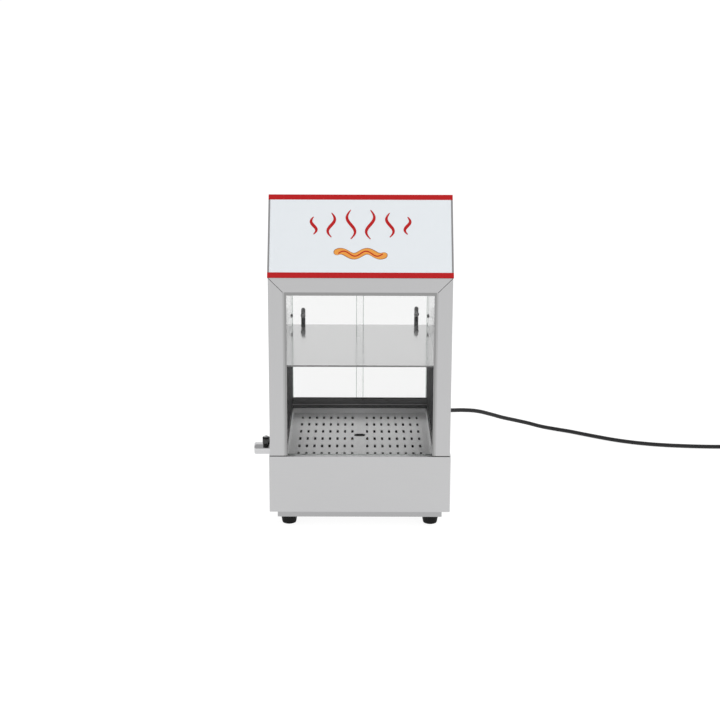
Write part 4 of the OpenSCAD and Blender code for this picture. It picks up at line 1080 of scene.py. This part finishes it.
class STEAMER_OT_feet(bpy.types.Operator):
    """Finishes the rubber feet and the gasket"""

    bl_idname = "steamer.feet"
    bl_label = "Feet"

    def execute(self, context):
        give(plastic("foot_rubber", (0.008, 0.008, 0.008), 0.7, specular=0.2), "feet", "base_gasket")
        return {"FINISHED"}


# Where the world is darkened for polished metal, by the direction's parts towards the front and up
CARD_FRONT = (-0.22, 0.05)
CARD_ABOVE = (0.0, 0.3)

# Half the floor's width, the point that the lamps aim at, and their size and places, all in metres
FLOOR_REACH = 60.0
LAMP_AIM = (0, 0.17, 0.28)
LAMP_SIZE = 1.7
LAMPS = (("lamp_front", (-1.1, -1.9, 1.7)), ("lamp_side", (1.7, -0.6, 1.6)),
         ("lamp_rear", (-0.4, 2.4, 1.9)))


class STEAMER_OT_stage(bpy.types.Operator):
    """Lays the white floor, the surrounding light and the soft lamps"""

    bl_idname = "steamer.stage"
    bl_label = "Stage"

    def execute(self, context):
        stage = context.scene.steamer.stage
        scene = context.scene
        scene.view_settings.view_transform = "Standard"
        world = bpy.data.worlds.new("studio")
        world.use_nodes = True
        scene.world = world
        r = Recipe(world.node_tree)
        seen, glossy = r.rays_that_see()
        _, y, z = r.split(r.node("ShaderNodeTexCoord", output="Generated"))
        card = r.rise(0 - y, *CARD_FRONT) * r.rise(z, *CARD_ABOVE) * glossy * stage.dark_card
        level = seen * (1 - card) + (1 - seen) * stage.sky_level
        background = r.node("ShaderNodeBackground", feeds={"Color": (1, 1, 1), "Strength": level})
        r.node("ShaderNodeOutputWorld", feeds={"Surface": background})

        material, r = new_material("floor_white")
        seen, _ = r.rays_that_see()
        lit = r.node("ShaderNodeBsdfDiffuse", feeds={"Color": (0.8, 0.8, 0.8)})
        shown = r.node("ShaderNodeAddShader", feeds={
            0: r.node("ShaderNodeEmission", feeds={"Color": (1, 1, 1), "Strength": 0.9}),
            1: r.node("ShaderNodeBsdfDiffuse", feeds={"Color": (0.2, 0.2, 0.2)})})
        r.surface(r.node("ShaderNodeMixShader", feeds={0: seen, 1: lit, 2: shown}))
        aim = at(*LAMP_AIM)
        mesh = bpy.data.meshes.new("floor")
        corners = [(-FLOOR_REACH, -FLOOR_REACH), (FLOOR_REACH, -FLOOR_REACH),
                   (FLOOR_REACH, FLOOR_REACH), (-FLOOR_REACH, FLOOR_REACH)]
        mesh.from_pydata([(aim.x + u, aim.y + v, 0) for u, v in corners], [], [(0, 1, 2, 3)])
        mesh.materials.append(material)
        floor = bpy.data.objects.new("floor", mesh)
        scene.collection.objects.link(floor)

        for name, place in LAMPS:
            data = bpy.data.lights.new(name, "AREA")
            data.shape = "SQUARE"
            data.size = LAMP_SIZE
            data.energy = stage.lamp_power
            lamp = bpy.data.objects.new(name, data)
            lamp.location = at(*place)
            lamp.rotation_euler = (aim - lamp.location).to_track_quat("-Z", "Y").to_euler()
            lamp.visible_glossy = False
            lamp.visible_camera = False
            lamp.visible_transmission = False
            scene.collection.objects.link(lamp)
        return {"FINISHED"}


class STEAMER_PT_panel(bpy.types.Panel):
    """Lists the steps that dress the steamer"""

    bl_idname = "STEAMER_PT_panel"
    bl_label = "Steamer"
    bl_space_type = "VIEW_3D"
    bl_region_type = "UI"
    bl_category = "Steamer"

    def draw(self, context):
        for step in STEPS:
            self.layout.operator(f"steamer.{step}")


STEPS = ("camera", "lead", "outer_sheet", "inner_sheet", "glazing", "sign", "fasteners", "drain",
         "heater", "controls", "feet", "stage")
GROUPS = (SteamerSheet, SteamerGlass, SteamerSign, SteamerControls, SteamerLead, SteamerStage,
          SteamerSettings)
OPERATORS = (STEAMER_OT_camera, STEAMER_OT_lead, STEAMER_OT_outer_sheet, STEAMER_OT_inner_sheet,
             STEAMER_OT_glazing, STEAMER_OT_sign, STEAMER_OT_fasteners, STEAMER_OT_drain,
             STEAMER_OT_heater, STEAMER_OT_controls, STEAMER_OT_feet, STEAMER_OT_stage)


def register():
    for cls in (*GROUPS, *OPERATORS, STEAMER_PT_panel):
        bpy.utils.register_class(cls)
    bpy.types.Scene.steamer = bpy.props.PointerProperty(type=SteamerSettings)


def unregister():
    del bpy.types.Scene.steamer
    for cls in reversed((*GROUPS, *OPERATORS, STEAMER_PT_panel)):
        bpy.utils.unregister_class(cls)


def main():
    """Registers the add-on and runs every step."""
    register()
    for step in STEPS:
        getattr(bpy.ops.steamer, step)()


if __name__ == "__main__":
    main()
